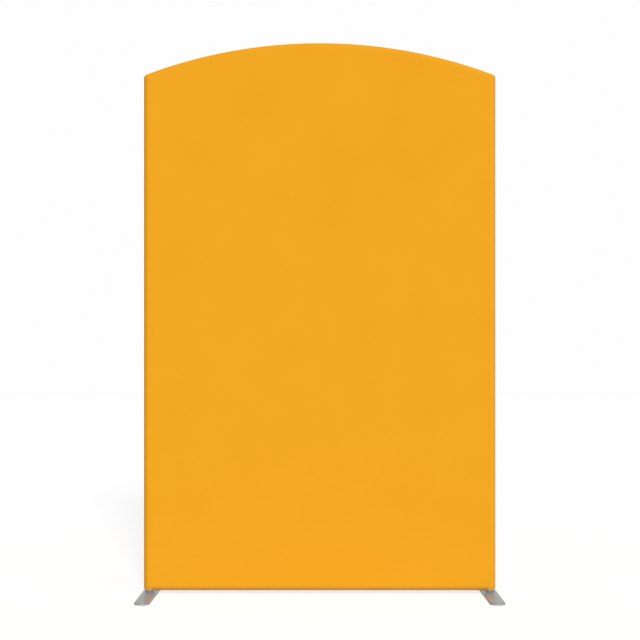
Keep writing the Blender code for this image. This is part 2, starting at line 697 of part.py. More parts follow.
def foot_plate(name, x):
    """The flat bar that stands on the floor, with a rounded top edge and a hole for its screw."""
    levels = [(PLATE_BOTTOM, FOOT_UNDER_CHAMFER), (PLATE_BOTTOM + FOOT_UNDER_CHAMFER, 0)]
    for i in range(EDGE_STEPS + 1):
        a = pi / 2 * i / EDGE_STEPS
        levels.append((PLATE_TOP - FOOT_EDGE_R * (1 - sin(a)), FOOT_EDGE_R * (1 - cos(a))))
    bm = bmesh.new()
    loops = [[bm.verts.new((x + px, py, z)) for px, py in plate_outline(inset)] for z, inset in levels]
    for here, ahead in zip(loops, loops[1:]):
        skin(bm, here, ahead)
    bm.faces.new(loops[0])
    bm.faces.new(loops[-1])
    plate = place(name, bm, "satin_steel", (x, 0, 0))
    head, shank, sink = SCREW_HEAD_R + TOUCH, SCREW_R + TOUCH, PLATE_BOTTOM + SCREW_HEAD_T + TOUCH
    hole = [(0, 0), (0, head), (PLATE_BOTTOM + TOUCH, head), (sink, shank), (FOOT_POST_TOP, shank)]
    hole.append((FOOT_POST_TOP, 0))
    combine(plate, turned(name + "_hole", Vector((x, 0, 0)), AXIS_Z, hole, "satin_steel"))


def foot_post(name, x):
    """The short round post that the frame drops over: hollow above, tapped for the screw below."""
    tap_end = FOOT_POST_BOTTOM + SCREW_BITE + SCREW_ROOM
    floor, chamfer, bore = tap_end + FOOT_POST_WALL, FOOT_POST_CHAMFER, FOOT_POST_R - FOOT_POST_WALL
    tap_r = (SCREW_R + TOUCH) / cos(pi / TURNING_SIDES)
    profile = [(tap_end, 0), (tap_end, tap_r), (FOOT_POST_BOTTOM, tap_r)]
    profile += [(FOOT_POST_BOTTOM, FOOT_POST_R), (FOOT_POST_TOP - chamfer, FOOT_POST_R)]
    profile += [(FOOT_POST_TOP, FOOT_POST_R - chamfer), (FOOT_POST_TOP, bore), (floor, bore), (floor, 0)]
    base = Vector((x, 0, 0))
    turned(name, base, AXIS_Z, profile, "satin_steel", base, TURNING_SIDES)


def foot_screw(name, x):
    """A countersunk socket screw, up through the plate into the post."""
    low = PLATE_BOTTOM + TOUCH
    deep, tip = low + SCREW_SOCKET_DEPTH, FOOT_POST_BOTTOM + SCREW_BITE
    profile = [(deep, 0), (deep, SCREW_SOCKET_R), (low, SCREW_SOCKET_R), (low, SCREW_HEAD_R)]
    profile += [(low + SCREW_HEAD_T, SCREW_R), (tip - SCREW_R / 4, SCREW_R)]
    profile += [(tip, SCREW_R * 3 / 4), (tip, 0)]
    turned(name, Vector((x, 0, 0)), AXIS_Z, profile, "zinc_screw", (x, 0, 0))


def foot_pad(name, x, face):
    """A rubber pad under one end of a foot, a rectangle with round corners."""
    middle = face * (FOOT_LENGTH / 2 - PAD_INSET - PAD_LENGTH / 2)
    straight_x, straight_y = PAD_W / 2 - PAD_CORNER_R, PAD_LENGTH / 2 - PAD_CORNER_R
    points = []
    for sx, sy, start in ((1, 1, 0), (-1, 1, pi / 2), (-1, -1, pi), (1, -1, 3 * pi / 2)):
        corner = (x + sx * straight_x, middle + sy * straight_y)
        arc = fillet(*corner, PAD_CORNER_R, start, start + pi / 2)
        points += [Vector((px, py, 0)) for px, py in arc]
    extruded(name, points, PAD_T * AXIS_Z, "rubber_pad", (x, 0, 0))


def foot(hand):
    """One foot. Its pieces turn together about the post's axis."""
    side = SIDE_NAMES[hand]
    x = hand * POST_X
    foot_plate(side + "_foot_plate", x)
    foot_post(side + "_foot_post", x)
    foot_screw(side + "_foot_screw", x)
    foot_pad(side + "_front_pad", x, -1)
    foot_pad(side + "_rear_pad", x, 1)


def build():
    """Makes the whole screen in an empty scene."""
    for old in list(bpy.data.objects):
        bpy.data.objects.remove(old, do_unlink=True)
    sleeve_panel("front_panel", -1)
    zip_fastener(sleeve_panel("back_panel", 1))
    for hand in SIDE_NAMES:
        post(hand, corner_connector(hand), shoulder_connector(hand))
        foot(hand)
    arch()
    rail()
    crossbar()


build()
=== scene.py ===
# %% [markdown]
# # A fabric display screen on two flat feet
#
# The real thing is a stretched fabric sleeve pulled over a frame of aluminium tube, zipped shut low down
# on its back, with two satin metal feet plugged into its lower corners. The frame comes from the packed
# model and keeps its shape. This lesson makes what the eye meets: the cloth with its seam, hems and zip,
# and the feet, each as a surface worked out with numpy, and a finish for every piece.

import math

import bmesh
import bpy
import numpy as np
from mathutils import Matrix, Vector


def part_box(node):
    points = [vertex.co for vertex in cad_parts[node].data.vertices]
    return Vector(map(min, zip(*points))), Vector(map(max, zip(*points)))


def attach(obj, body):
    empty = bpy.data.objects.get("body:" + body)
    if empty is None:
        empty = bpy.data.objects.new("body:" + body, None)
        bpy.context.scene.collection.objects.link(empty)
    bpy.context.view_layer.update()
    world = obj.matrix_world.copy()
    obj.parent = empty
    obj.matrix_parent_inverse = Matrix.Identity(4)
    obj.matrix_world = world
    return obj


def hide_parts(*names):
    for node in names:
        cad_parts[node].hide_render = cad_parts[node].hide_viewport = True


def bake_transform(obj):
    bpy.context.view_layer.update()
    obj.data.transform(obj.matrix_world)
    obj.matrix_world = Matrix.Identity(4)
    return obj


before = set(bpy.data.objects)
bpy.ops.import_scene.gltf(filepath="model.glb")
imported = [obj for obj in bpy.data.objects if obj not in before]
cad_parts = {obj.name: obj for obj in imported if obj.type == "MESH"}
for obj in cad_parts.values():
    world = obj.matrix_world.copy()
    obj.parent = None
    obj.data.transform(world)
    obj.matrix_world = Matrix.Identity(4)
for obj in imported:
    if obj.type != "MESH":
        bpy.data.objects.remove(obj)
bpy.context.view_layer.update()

# %% [markdown]
# ## Sizes
#
# Every place is read from the frame's own pieces, so the cloth and the feet fit whatever the frame
# measures. A turned piece is faceted there, so its radius is taken at its corners, not at its box.


# %% Sizes read from the frame
def node_points(name):
    """The vertices of a frame piece, one row each."""
    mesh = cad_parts[name].data
    points = np.zeros(len(mesh.vertices) * 3, np.float32)
    mesh.vertices.foreach_get("co", points)
    return points.reshape(-1, 3).astype(float)


panel_low, panel_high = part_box("front_panel")
post_low, post_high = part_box("right_foot_post")
plate_low, plate_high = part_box("right_foot_plate")
HALF_WIDTH, TOP, BOTTOM = panel_high.x, panel_high.z, panel_low.z
ROUND_R = -panel_low.y  # the cloth's outer radius round a tube
POST_X = HALF_WIDTH - ROUND_R
RAIL_Z = BOTTOM + ROUND_R
FOOT_POST_R = float(np.hypot(*(node_points("right_foot_post")[:, :2] - (POST_X, 0)).T).max())
CLOTH_T = 0.0008


# %% The arch's radius
def arch_radius():
    """A circle through the crown and a rim point off to the side: (x squared + drop squared) / (2 drop)."""
    points = node_points("front_panel")
    drop = TOP - points[:, 2]
    rim = (drop > 0.01) & (np.abs(points[:, 1]) < ROUND_R / 10) & (np.abs(points[:, 0]) < POST_X / 2)
    rim &= points[:, 2] > (TOP + BOTTOM) / 2
    return float(((points[rim, 0] ** 2 + drop[rim] ** 2) / (2 * drop[rim])).max())


ARCH_R = arch_radius()
ARCH_Z = TOP - ARCH_R
print("arch radius", round(ARCH_R, 4), "post x", round(POST_X, 4), "foot post radius", round(FOOT_POST_R, 4))

# %% [markdown]
# ## Camera
#
# The screen is seen square on, from below the middle of its height. The camera stays level, so that the
# posts stay upright, and a small vertical shift frames the screen without tilting it.

# %% Camera
CAMERA_HEIGHT, CAMERA_DISTANCE, LENS = 0.770, 4.236, 69.7
camera_data = bpy.data.cameras.new("camera")
camera_data.lens = LENS
camera_data.sensor_width = 36
camera_data.shift_x, camera_data.shift_y = 0.0004, 0.0772
camera = bpy.data.objects.new("camera", camera_data)
camera.location = (0, -CAMERA_DISTANCE, CAMERA_HEIGHT)
camera.rotation_euler = (math.radians(90), 0, 0)
bpy.context.scene.collection.objects.link(camera)
bpy.context.scene.camera = camera

# %% [markdown]
# ## Studio
#
# A white room. A far, soft key lamp stands almost straight in front, so its shadow falls behind the screen.
# A weaker one on the right, without shadows, makes the left edges darker than the right ones, and one more
# behind keeps the back readable. The floor is partly self-lit white and partly matt white, so that it takes
# a pale shadow and still melts into the background. The floor's glow and the surroundings are bright
# to look at and in the metal's reflections, but give less light, or the edges would not shade.


# %% Node helpers
def fill(tree, node, values):
    """Gives each named socket of a node its value, or a link from another node's output."""
    for socket, value in values.items():
        target = node.inputs[socket if isinstance(socket, int) else socket.replace("_", " ")]
        if isinstance(value, bpy.types.NodeSocket):
            tree.links.new(value, target)
        else:
            target.default_value = value
    return node


def add_node(tree, kind, values=None, **settings):
    """Adds a shader node. Settings are its own fields; values are for its sockets."""
    made = tree.nodes.new(kind)
    for field, value in settings.items():
        setattr(made, field, value)
    return fill(tree, made, values or {})


def maths(tree, operation, *values):
    """One Math node; its output socket."""
    return add_node(tree, "ShaderNodeMath", dict(enumerate(values)), operation=operation).outputs[0]


def mapped(tree, value, low, high, to_low=0.0, to_high=1.0):
    """A clamped Map Range; its output socket."""
    ends = {"Value": value, "From Min": low, "From Max": high, "To Min": to_low, "To Max": to_high}
    return add_node(tree, "ShaderNodeMapRange", ends, clamp=True).outputs[0]


def noise(tree, vector, scale, detail):
    """One Noise Texture; its output socket."""
    sockets = {"Vector": vector, "Scale": scale, "Detail": detail}
    return add_node(tree, "ShaderNodeTexNoise", sockets).outputs[0]


# %% Floor and surroundings
FLOOR_HALF, SHADOW_SHARE = 30.0, 0.55
# strengths as seen by the camera, in a reflection, and as light
ROOM_STRENGTHS, FLOOR_STRENGTHS = (0.985, 0.85, 0.25), (1.30, 0.85, 0.16)


def by_ray(tree, seen, mirrored, lit):
    """A strength that depends on the ray: the lighting one, plus what the camera or a gloss adds to it."""
    path = add_node(tree, "ShaderNodeLightPath")
    to_camera = maths(tree, "MULTIPLY", path.outputs["Is Camera Ray"], seen - lit)
    to_gloss = maths(tree, "MULTIPLY", path.outputs["Is Glossy Ray"], mirrored - lit)
    return maths(tree, "ADD", maths(tree, "ADD", to_camera, to_gloss), lit)


def emptied(block):
    """A material's or a world's tree, without nodes."""
    block.use_nodes = True
    block.node_tree.nodes.clear()
    return block.node_tree


def studio_floor():
    """A large white floor that shows a share of the light that falls on it."""
    bpy.ops.mesh.primitive_plane_add(size=2 * FLOOR_HALF)
    floor = bpy.context.object
    floor.name = "studio_floor"
    paint = bpy.data.materials.new("studio_white")
    tree = emptied(paint)
    matt = add_node(tree, "ShaderNodeBsdfDiffuse", {"Color": (0.95, 0.95, 0.95, 1)})
    strength = by_ray(tree, *FLOOR_STRENGTHS)
    glow = add_node(tree, "ShaderNodeEmission", {"Color": (1, 1, 1, 1), "Strength": strength})
    shares = {"Fac": SHADOW_SHARE, 1: glow.outputs[0], 2: matt.outputs[0]}
    mixed = add_node(tree, "ShaderNodeMixShader", shares)
    add_node(tree, "ShaderNodeOutputMaterial", {"Surface": mixed.outputs[0]})
    floor.data.materials.append(paint)


def surroundings():
    """White all round."""
    world = bpy.data.worlds.new("white_room")
    tree = emptied(world)
    strength = by_ray(tree, *ROOM_STRENGTHS)
    backdrop = add_node(tree, "ShaderNodeBackground", {"Color": (1, 1, 1, 1), "Strength": strength})
    add_node(tree, "ShaderNodeOutputWorld", {"Surface": backdrop.outputs[0]})
    bpy.context.scene.world = world


studio_floor()
surroundings()


# %% Lamps
def far_lamp(name, azimuth, elevation, softness, strength, main):
    """An even light from far away. Azimuth is turned to the right of straight ahead, softness in degrees.

    Only the main lamp casts a shadow and shows in the metal's reflections.
    """
    a, e = math.radians(azimuth), math.radians(elevation)
    back = Vector((math.sin(a) * math.cos(e), -math.cos(a) * math.cos(e), math.sin(e)))
    data = bpy.data.lights.new(name, "SUN")
    data.angle, data.energy = math.radians(softness), strength
    data.use_shadow = main
    lamp = bpy.data.objects.new(name, data)
    lamp.visible_glossy = main
    lamp.location = back * CAMERA_DISTANCE
    lamp.rotation_euler = (-back).to_track_quat("-Z", "Y").to_euler()
    bpy.context.scene.collection.objects.link(lamp)


far_lamp("key_lamp", azimuth=8, elevation=27, softness=12, strength=2.17, main=True)
far_lamp("side_lamp", azimuth=50, elevation=27, softness=20, strength=0.71, main=False)
far_lamp("back_lamp", azimuth=165, elevation=25, softness=20, strength=0.90, main=False)
bpy.context.scene.view_settings.view_transform = "Standard"

# %% [markdown]
# ## From numbers to a mesh
#
# A surface is a grid of points, a function of two parameters worked out as whole arrays. Neighbouring rows
# and columns give the quads. Where a grid closes on itself its first and last columns fall on the same
# points, and the weld joins them; a row that shrinks to one point becomes a closed pole in the same way.

# %% Grid to mesh
WELD = 1e-6


def grid_faces(rows, columns):
    """Quads between neighbouring rows and columns, as indices into the flattened grid."""
    i = np.arange(rows * columns).reshape(rows, columns)
    return np.stack([i[:-1, :-1], i[:-1, 1:], i[1:, 1:], i[1:, :-1]], axis=-1).reshape(-1, 4)


def make_piece(name, points, body, finish, node=None, faces=None, uv=None, closed=True):
    """Puts points and faces in a mesh, welds it, turns closed shapes outwards, and lets it ride a body.

    Without faces the points are one grid. With a node the piece takes the place of that frame piece.
    """
    if faces is None:
        faces = grid_faces(*points.shape[:2])
    mesh = bpy.data.meshes.new(name)
    mesh.from_pydata(points.reshape(-1, 3).tolist(), [], faces.tolist())
    if uv is not None:
        corners = np.zeros(len(mesh.loops), np.int32)
        mesh.loops.foreach_get("vertex_index", corners)
        flat = mesh.uv_layers.new(name="flat")
        flat.data.foreach_set("uv", uv.reshape(-1, 2)[corners].astype(np.float32).ravel())
    bm = bmesh.new()
    bm.from_mesh(mesh)
    bmesh.ops.remove_doubles(bm, verts=bm.verts, dist=WELD)
    bmesh.ops.dissolve_degenerate(bm, edges=bm.edges, dist=WELD)
    if closed:
        bmesh.ops.recalc_face_normals(bm, faces=bm.faces)
    bm.to_mesh(mesh)
    bm.free()
    mesh.shade_smooth()
    mesh.materials.append(finish)
    made = bpy.data.objects.new(name, mesh)
    bpy.context.scene.collection.objects.link(made)
    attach(made, body)
    if node:
        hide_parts(node)
    print(name, len(mesh.vertices), "points", len(mesh.polygons), "faces")
    return made


# %% [markdown]
# ## Shared effects
#
# Four node groups serve every finish: a knit for the cloth, a soft cloudiness that keeps any colour from
# being dead flat, a fine directional grain for metal and moulded plastic, and a speckle that fades with
# height, which is floor dust on the metal and partly dust, partly painted shade low on the cloth. Each puts
# out only a value; the shader itself stays in the material.


# %% Node group helper
def new_group(name, inputs):
    """An empty node group with float or vector inputs and one float output called Value."""
    tree = bpy.data.node_groups.new(name, "ShaderNodeTree")
    for socket, default in inputs.items():
        kind = "NodeSocketVector" if default is None else "NodeSocketFloat"
        made = tree.interface.new_socket(socket, in_out="INPUT", socket_type=kind)
        if default is not None:
            made.default_value = default
    tree.interface.new_socket("Value", in_out="OUTPUT", socket_type="NodeSocketFloat")
    return tree, tree.nodes.new("NodeGroupInput").outputs, tree.nodes.new("NodeGroupOutput")


# %% Knit
def knit_group():
    """Columns of V-shaped loops. Across a column the loop's phase rises towards both edges, so a plain
    wave along the column reads as stacked Vs; a half sine across it rounds each column's back."""
    tree, given, result = new_group("stretch_knit", {"Vector": None, "Wales": 1500.0, "Courses": 1900.0})
    flat = add_node(tree, "ShaderNodeSeparateXYZ", {0: given["Vector"]}).outputs
    across = maths(tree, "FRACT", maths(tree, "MULTIPLY", flat["X"], given["Wales"]))
    lean = maths(tree, "ABSOLUTE", maths(tree, "SUBTRACT", across, 0.5))
    along = maths(tree, "MULTIPLY", flat["Y"], given["Courses"])
    phase = maths(tree, "MULTIPLY", maths(tree, "ADD", along, lean), 2 * math.pi)
    loop = maths(tree, "MULTIPLY_ADD", maths(tree, "SINE", phase), 0.5, 0.5)
    back = maths(tree, "SINE", maths(tree, "MULTIPLY", across, math.pi))
    fill(tree, result, {"Value": maths(tree, "MULTIPLY", loop, back)})
    return tree


# %% Cloudiness, grain, and dust with painted shade
def cloud_group():
    """Two sizes of soft noise added: broad patches, and a quarter as much of a finer one."""
    tree, given, result = new_group("cloudiness", {"Vector": None, "Patches": 5.0, "Specks": 60.0})
    broad = noise(tree, given["Vector"], given["Patches"], 2.0)
    fine = noise(tree, given["Vector"], given["Specks"], 3.0)
    mixed = maths(tree, "MULTIPLY_ADD", fine, 0.25, broad)
    fill(tree, result, {"Value": mapped(tree, mixed, 0.40, 0.85)})
    return tree


def grain_group():
    """Noise stretched into fine parallel lines: the three inputs are how often it changes along each axis."""
    sizes = {"Vector": None, "Along X": 1200.0, "Along Y": 12.0, "Along Z": 1200.0}
    tree, given, result = new_group("fine_grain", sizes)
    stretch = add_node(tree, "ShaderNodeCombineXYZ", {axis: given["Along " + axis] for axis in "XYZ"})
    sides = {0: given["Vector"], 1: stretch.outputs[0]}
    place = add_node(tree, "ShaderNodeVectorMath", sides, operation="MULTIPLY")
    fill(tree, result, {"Value": mapped(tree, noise(tree, place.outputs[0], 1.0, 3.0), 0.3, 0.7)})
    return tree


def dust_and_shade_group():
    """Speckle that is strongest at the floor and gone at the given height."""
    tree, given, result = new_group("floor_dust_and_shade", {"Vector": None, "Height": 0.05, "Specks": 220.0})
    level = add_node(tree, "ShaderNodeSeparateXYZ", {0: given["Vector"]}).outputs["Z"]
    fade = maths(tree, "SUBTRACT", 1.0, maths(tree, "DIVIDE", level, given["Height"]))
    specks = mapped(tree, noise(tree, given["Vector"], given["Specks"], 4.0), 0.42, 0.72)
    fill(tree, result, {"Value": maths(tree, "MULTIPLY", mapped(tree, fade, 0, 1), specks)})
    return tree


KNIT, CLOUDS, GRAIN, DUST_AND_SHADE = knit_group(), cloud_group(), grain_group(), dust_and_shade_group()
print("node groups:", [g.name for g in bpy.data.node_groups])
print("node groups:", [g.name for g in bpy.data.node_groups])

# %% [markdown]
# ## Finishes
#
# Each finish is one Principled shader. Its constants sit on the shader's own sockets, and only what changes
# over the surface is wired in: the colour through cloudiness, painted shade in the knit and the tape, and
# dust, which low on the cloth is partly painted shade; the roughness through grain; and a small bump from the
# knit, the weave or the grain.


# %% Finish helpers
def start_finish(name, **constants):
    """A new material: its tree, its shader with the given constants set, and the object's coordinates."""
    made = bpy.data.materials.new(name)
    made.use_nodes = True
    tree = made.node_tree
    shader = fill(tree, tree.nodes["Principled BSDF"], constants)
    return made, tree, shader, add_node(tree, "ShaderNodeTexCoord").outputs["Object"]


def use(tree, group, vector, **values):
    """Places a group with its own values; its output socket. Its sockets exist only once it has its tree."""
    node = add_node(tree, "ShaderNodeGroup", node_tree=group)
    return fill(tree, node, {"Vector": vector, **values}).outputs["Value"]


def blend_colour(tree, share, first, second):
    """Mixes two colours by a share; its output socket."""
    node = add_node(tree, "ShaderNodeMix", {"Factor": share}, data_type="RGBA")
    first, second = (c if isinstance(c, bpy.types.NodeSocket) else (*c, 1) for c in (first, second))
    return fill(tree, node, {6: first, 7: second}).outputs[2]


def raised(tree, height, distance, strength=1.0):
    """A bump of that depth in metres, as a normal."""
    inputs = {"Height": height, "Distance": distance, "Strength": strength}
    return add_node(tree, "ShaderNodeBump", inputs).outputs[0]


def dust_and_shade_over(tree, here, colour, dust, height, share):
    """The colour with a speckle over it, up to a height and a share: floor dust on metal, and on the cloth
    partly dust and partly painted shade.
    """
    specks = maths(tree, "MULTIPLY", use(tree, DUST_AND_SHADE, here, Height=height), share)
    return blend_colour(tree, specks, colour, dust)


# %% Cloth and thread
# the deeper amber is painted shade between the knit's loops
AMBER, AMBER_PAINTED_SHADE, AMBER_PALE = (0.812, 0.358, 0.0145), (0.770, 0.331, 0.0130), (0.836, 0.374, 0.0160)
# the deeper tape colour is painted shade between the tape's ribs
TAPE_PAINTED_SHADE, TAPE_RIB, TAPE_PALE = (0.60, 0.24, 0.012), (0.80, 0.34, 0.018), (0.88, 0.42, 0.03)
# the cloth's dust colour is partly dust and partly painted shade, low on the cloth
CLOTH_DUST_AND_SHADE, METAL_DUST = (0.42, 0.30, 0.16), (0.30, 0.29, 0.27)


def cloth_finish(name):
    """Matt stretch knit: almost one colour, with painted shade between its loops, and at the very bottom a
    darker speckle that is partly dust and partly painted shade.
    """
    sheen = {"Sheen_Weight": 0.05, "Sheen_Roughness": 0.45, "Sheen_Tint": (1.0, 0.72, 0.30, 1)}
    made, tree, shader, here = start_finish(name, Roughness=0.90, Specular_IOR_Level=0.06, **sheen)
    loops = use(tree, KNIT, add_node(tree, "ShaderNodeUVMap", uv_map="flat").outputs[0])
    colour = blend_colour(tree, use(tree, CLOUDS, here), AMBER, AMBER_PALE)
    # painted shade: the colour deepens between the knit's loops, where shade falls
    colour = blend_colour(tree, mapped(tree, loops, 0.0, 0.6, 0.55, 0.0), colour, AMBER_PAINTED_SHADE)
    # painted shade: a darker speckle over the lowest 35 mm of the cloth, partly dust and partly shade where
    # the rim turns under
    colour = dust_and_shade_over(tree, here, colour, CLOTH_DUST_AND_SHADE, 0.035, 0.25)
    fill(tree, shader, {"Base Color": colour, "Normal": raised(tree, loops, 0.00012, 0.6)})
    return made


def thread_finish(name, low, high):
    """Polyester sewing thread, a little glossier than the cloth, twisted along its length."""
    made, tree, shader, here = start_finish(name, Roughness=0.55, Sheen_Weight=0.1)
    twist = use(tree, GRAIN, here, Along_X=2500.0, Along_Y=2500.0, Along_Z=2500.0)
    colour = blend_colour(tree, twist, low, high)
    fill(tree, shader, {"Base Color": colour, "Normal": raised(tree, twist, 0.00005)})
    return made


def tape_finish(name):
    """Woven polyester zip tape: a herringbone of fine ribs in the cloth's colour, with painted shade between
    the ribs that makes it a shade deeper.
    """
    made, tree, shader, here = start_finish(name, Roughness=0.8, Sheen_Weight=0.15)
    flat = add_node(tree, "ShaderNodeUVMap", uv_map="flat").outputs[0]
    ribs = use(tree, KNIT, flat, Wales=700.0, Courses=2600.0)
    # painted shade: the colour deepens between the tape's ribs
    shade = blend_colour(tree, ribs, TAPE_PAINTED_SHADE, TAPE_RIB)
    pale = maths(tree, "MULTIPLY", use(tree, CLOUDS, here, Patches=30.0), 0.3)
    colour = blend_colour(tree, pale, shade, TAPE_PALE)
    fill(tree, shader, {"Base Color": colour, "Normal": raised(tree, ribs, 0.00010, 0.8)})
    return made


# %% Metal, plastic and rubber
WORN_SHARE, WORN_SHADE = 0.35, 0.82
SMEAR = 0.08  # how far the roughness moves to each side
GRAIN_DEPTH = 0.000004


def metal_finish(name, low, high, roughness, grain_sizes, dust=0.0, metallic=1.0):
    """Bare or plated metal: grain moves the colour and the roughness a little, dust dulls the floor end."""
    made, tree, shader, here = start_finish(name, Metallic=metallic)
    grain = use(tree, GRAIN, here, **grain_sizes)
    clouds = use(tree, CLOUDS, here, Patches=22.0, Specks=300.0)
    colour = blend_colour(tree, grain, low, high)
    worn = maths(tree, "MULTIPLY", clouds, WORN_SHARE)
    colour = blend_colour(tree, worn, colour, tuple(WORN_SHADE * c for c in low))
    if dust:
        colour = dust_and_shade_over(tree, here, colour, METAL_DUST, 0.014, dust)
    both = maths(tree, "ADD", grain, clouds)
    smear = mapped(tree, both, 0, 2, roughness - SMEAR, roughness + SMEAR)
    fill(tree, shader, {"Base Color": colour, "Roughness": smear, "Normal": raised(tree, grain, GRAIN_DEPTH)})
    return made


def moulded_finish(name, low, high, roughness, depth=0.00003, specks=900.0):
    """Moulded nylon or rubber: a pebbled skin, with a cloudy tint that also moves the roughness."""
    made, tree, shader, here = start_finish(name, Specular_IOR_Level=0.4)
    pebbles = use(tree, GRAIN, here, Along_X=specks, Along_Y=specks, Along_Z=specks)
    clouds = use(tree, CLOUDS, here, Patches=40.0, Specks=500.0)
    smear = mapped(tree, clouds, 0, 1, roughness - SMEAR, roughness + SMEAR)
    colour = blend_colour(tree, clouds, low, high)
    fill(tree, shader, {"Base Color": colour, "Roughness": smear, "Normal": raised(tree, pebbles, depth)})
    return made


# %% Every finish
ALONG_Y = {"Along_X": 1500.0, "Along_Y": 20.0, "Along_Z": 1500.0}
ALONG_X = {"Along_X": 20.0, "Along_Y": 1500.0, "Along_Z": 1500.0}
ALONG_Z = {"Along_X": 1500.0, "Along_Y": 1500.0, "Along_Z": 20.0}
ROUND_Z = {"Along_X": 40.0, "Along_Y": 40.0, "Along_Z": 4000.0}
STRETCH_KNIT = cloth_finish("stretch_knit_amber")
THREAD = thread_finish("amber_thread", (0.76, 0.32, 0.014), (0.88, 0.41, 0.027))
TOPSTITCH = thread_finish("sand_thread", (0.60, 0.36, 0.09), (0.72, 0.45, 0.13))
TAPE = tape_finish("zip_tape_weave")
# each metal: its darker and its lighter colour, its roughness, and the way of its grain
SATIN = (0.275, 0.325, 0.380), (0.355, 0.405, 0.460), 0.34, ALONG_Y
TURNED = (0.44, 0.47, 0.51), (0.57, 0.60, 0.64), 0.32, ROUND_Z
ALUMINIUM = (0.58, 0.585, 0.59), (0.72, 0.725, 0.73), 0.33
FOOT_METAL = metal_finish("satin_foot_metal", *SATIN, dust=0.20, metallic=0.16)
POST_METAL = metal_finish("turned_post_metal", *TURNED, dust=0.15, metallic=0.75)
SCREW_METAL = metal_finish("zinc_screw", (0.42, 0.43, 0.44), (0.58, 0.59, 0.60), 0.30, ROUND_Z)
ZIP_METAL = metal_finish("zip_metal", (0.45, 0.44, 0.42), (0.62, 0.61, 0.59), 0.26, ALONG_X)
TUBE_METAL = metal_finish("drawn_aluminium", *ALUMINIUM, ALONG_Z)
RAIL_METAL = metal_finish("drawn_aluminium_level", *ALUMINIUM, ALONG_X)
BUTTON_METAL = metal_finish("button_steel", (0.50, 0.50, 0.49), (0.66, 0.66, 0.65), 0.22, ROUND_Z)
SPRING_METAL = metal_finish("spring_steel", (0.20, 0.21, 0.23), (0.34, 0.34, 0.35), 0.30, ALONG_Z)
COIL_NYLON = moulded_finish("zip_coil_nylon", (0.72, 0.29, 0.015), (0.84, 0.37, 0.02), 0.38, 0.00001, 2500.0)
FRAME_NYLON = moulded_finish("moulded_black_nylon", (0.016, 0.016, 0.017), (0.030, 0.030, 0.031), 0.50)
PAD_RUBBER = moulded_finish("pad_rubber", (0.020, 0.020, 0.020), (0.038, 0.037, 0.036), 0.80, 0.00006, 700.0)
print("finishes:", len(bpy.data.materials))

# %% [markdown]
# ## The cloth's outline
#
# The sleeve is two matching halves sewn together along the middle of the frame's edge. Seen from the front,
# each half is a rectangle with a low arch on top. The same outline is wanted at many insets, because the
# cloth rolls over the tube: an inset of nothing is the seam, and an inset of the tube's radius is where the
# cloth leaves the tube and runs flat. The corners are round at the seam and sharpen as the inset grows, as a
# stretched cloth does over a mitred corner.

# %% Steps of the cloth
BOTTOM_CORNER_R, SHOULDER_CORNER_R, CORNER_SOFTNESS = 0.010, 0.013, 0.0025
CORNER_STEPS = 12
SPAN_STEPS, SIDE_STEPS = 88, 120
POST_STEPS, POST_TURN = 14, 0.66 * math.pi  # extra columns close to a foot post, and how far they go round it
NEAREST_COLUMNS, NEAREST_ROWS = 0.0004, 0.0012  # as shares
COLLAR_R = FOOT_POST_R + 0.0006 + CLOTH_T  # the cloth's outer face round a foot post

zip_low, zip_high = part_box("zip_chain")
ZIP_Z = (zip_low.z + zip_high.z) / 2
slider_low, slider_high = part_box("zip_slider")
WINDOW_X = 0.0003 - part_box("zip_bottom_stop")[0].x
WINDOW_HALF = slider_high.z - ZIP_Z + 0.0006
# the folded edge round the window, the slope beside it, and how far it stands proud
HEM_WIDTH, HEM_RAMP, HEM_LIFT = 0.006, 0.0015, 0.8 * CLOTH_T


def corner_radius(inset, radius):
    """The corner's radius less the inset, eased so that it never quite reaches a point until the flat."""
    left = radius - inset
    eased = (left + np.sqrt(left**2 + 4 * CORNER_SOFTNESS**2)) / 2
    return eased * (1 - (inset / ROUND_R) ** 4)


def arc(x, z, radius, start, end):
    """Points on a circle about (x, z), with one row for each inset."""
    turns = start + (end - start) * np.linspace(0, 1, CORNER_STEPS + 1)
    return x + radius * np.cos(turns), z + radius * np.sin(turns)


# %% Columns and rows
def span_shares():
    """Columns as shares of the bottom edge's half length, close together beside the foot posts.

    Beside a post they follow a cosine, so that they fall evenly round its circle.
    """
    start = (POST_X - COLLAR_R) / POST_X
    turns = np.linspace(0, 1, POST_STEPS + 1)[1:] * POST_TURN
    near = start + (1 - start) * (1 - np.cos(turns)) / (1 - math.cos(POST_TURN))
    middle = np.linspace(0, start, SPAN_STEPS // 2 + 1)
    window = (WINDOW_X + np.array([-0.002, 0, 0.002, 0.004])) / POST_X
    half = np.unique(np.concatenate([middle, near, window]).round(7))
    half = half[np.concatenate([[True], np.diff(half) > NEAREST_COLUMNS])]
    return np.concatenate([-half[:0:-1], half])


def side_shares(levels):
    """Rows as shares of the side's height, with the given levels among them."""
    low, high = flat_height(ROUND_R)
    wanted = (np.array(levels) - low) / (high - low)
    even = np.linspace(0, 1, SIDE_STEPS + 1)
    clear = np.abs(even[:, None] - wanted).min(axis=1) > NEAREST_ROWS
    return np.unique(np.concatenate([even[clear], wanted]))


def flat_height(inset):
    """Lowest and highest level of the side at an inset with sharp corners."""
    x = HALF_WIDTH - inset
    return BOTTOM + inset, ARCH_Z + math.sqrt((ARCH_R - inset) ** 2 - x**2)


HEM_STEPS = (0, HEM_RAMP, HEM_WIDTH - HEM_RAMP, HEM_WIDTH)
HEM_LEVELS = [ZIP_Z + side * (WINDOW_HALF + step) for side in (-1, 1) for step in HEM_STEPS]
COLUMNS, ROWS = span_shares(), side_shares(HEM_LEVELS)
print("columns", len(COLUMNS), "rows", len(ROWS))


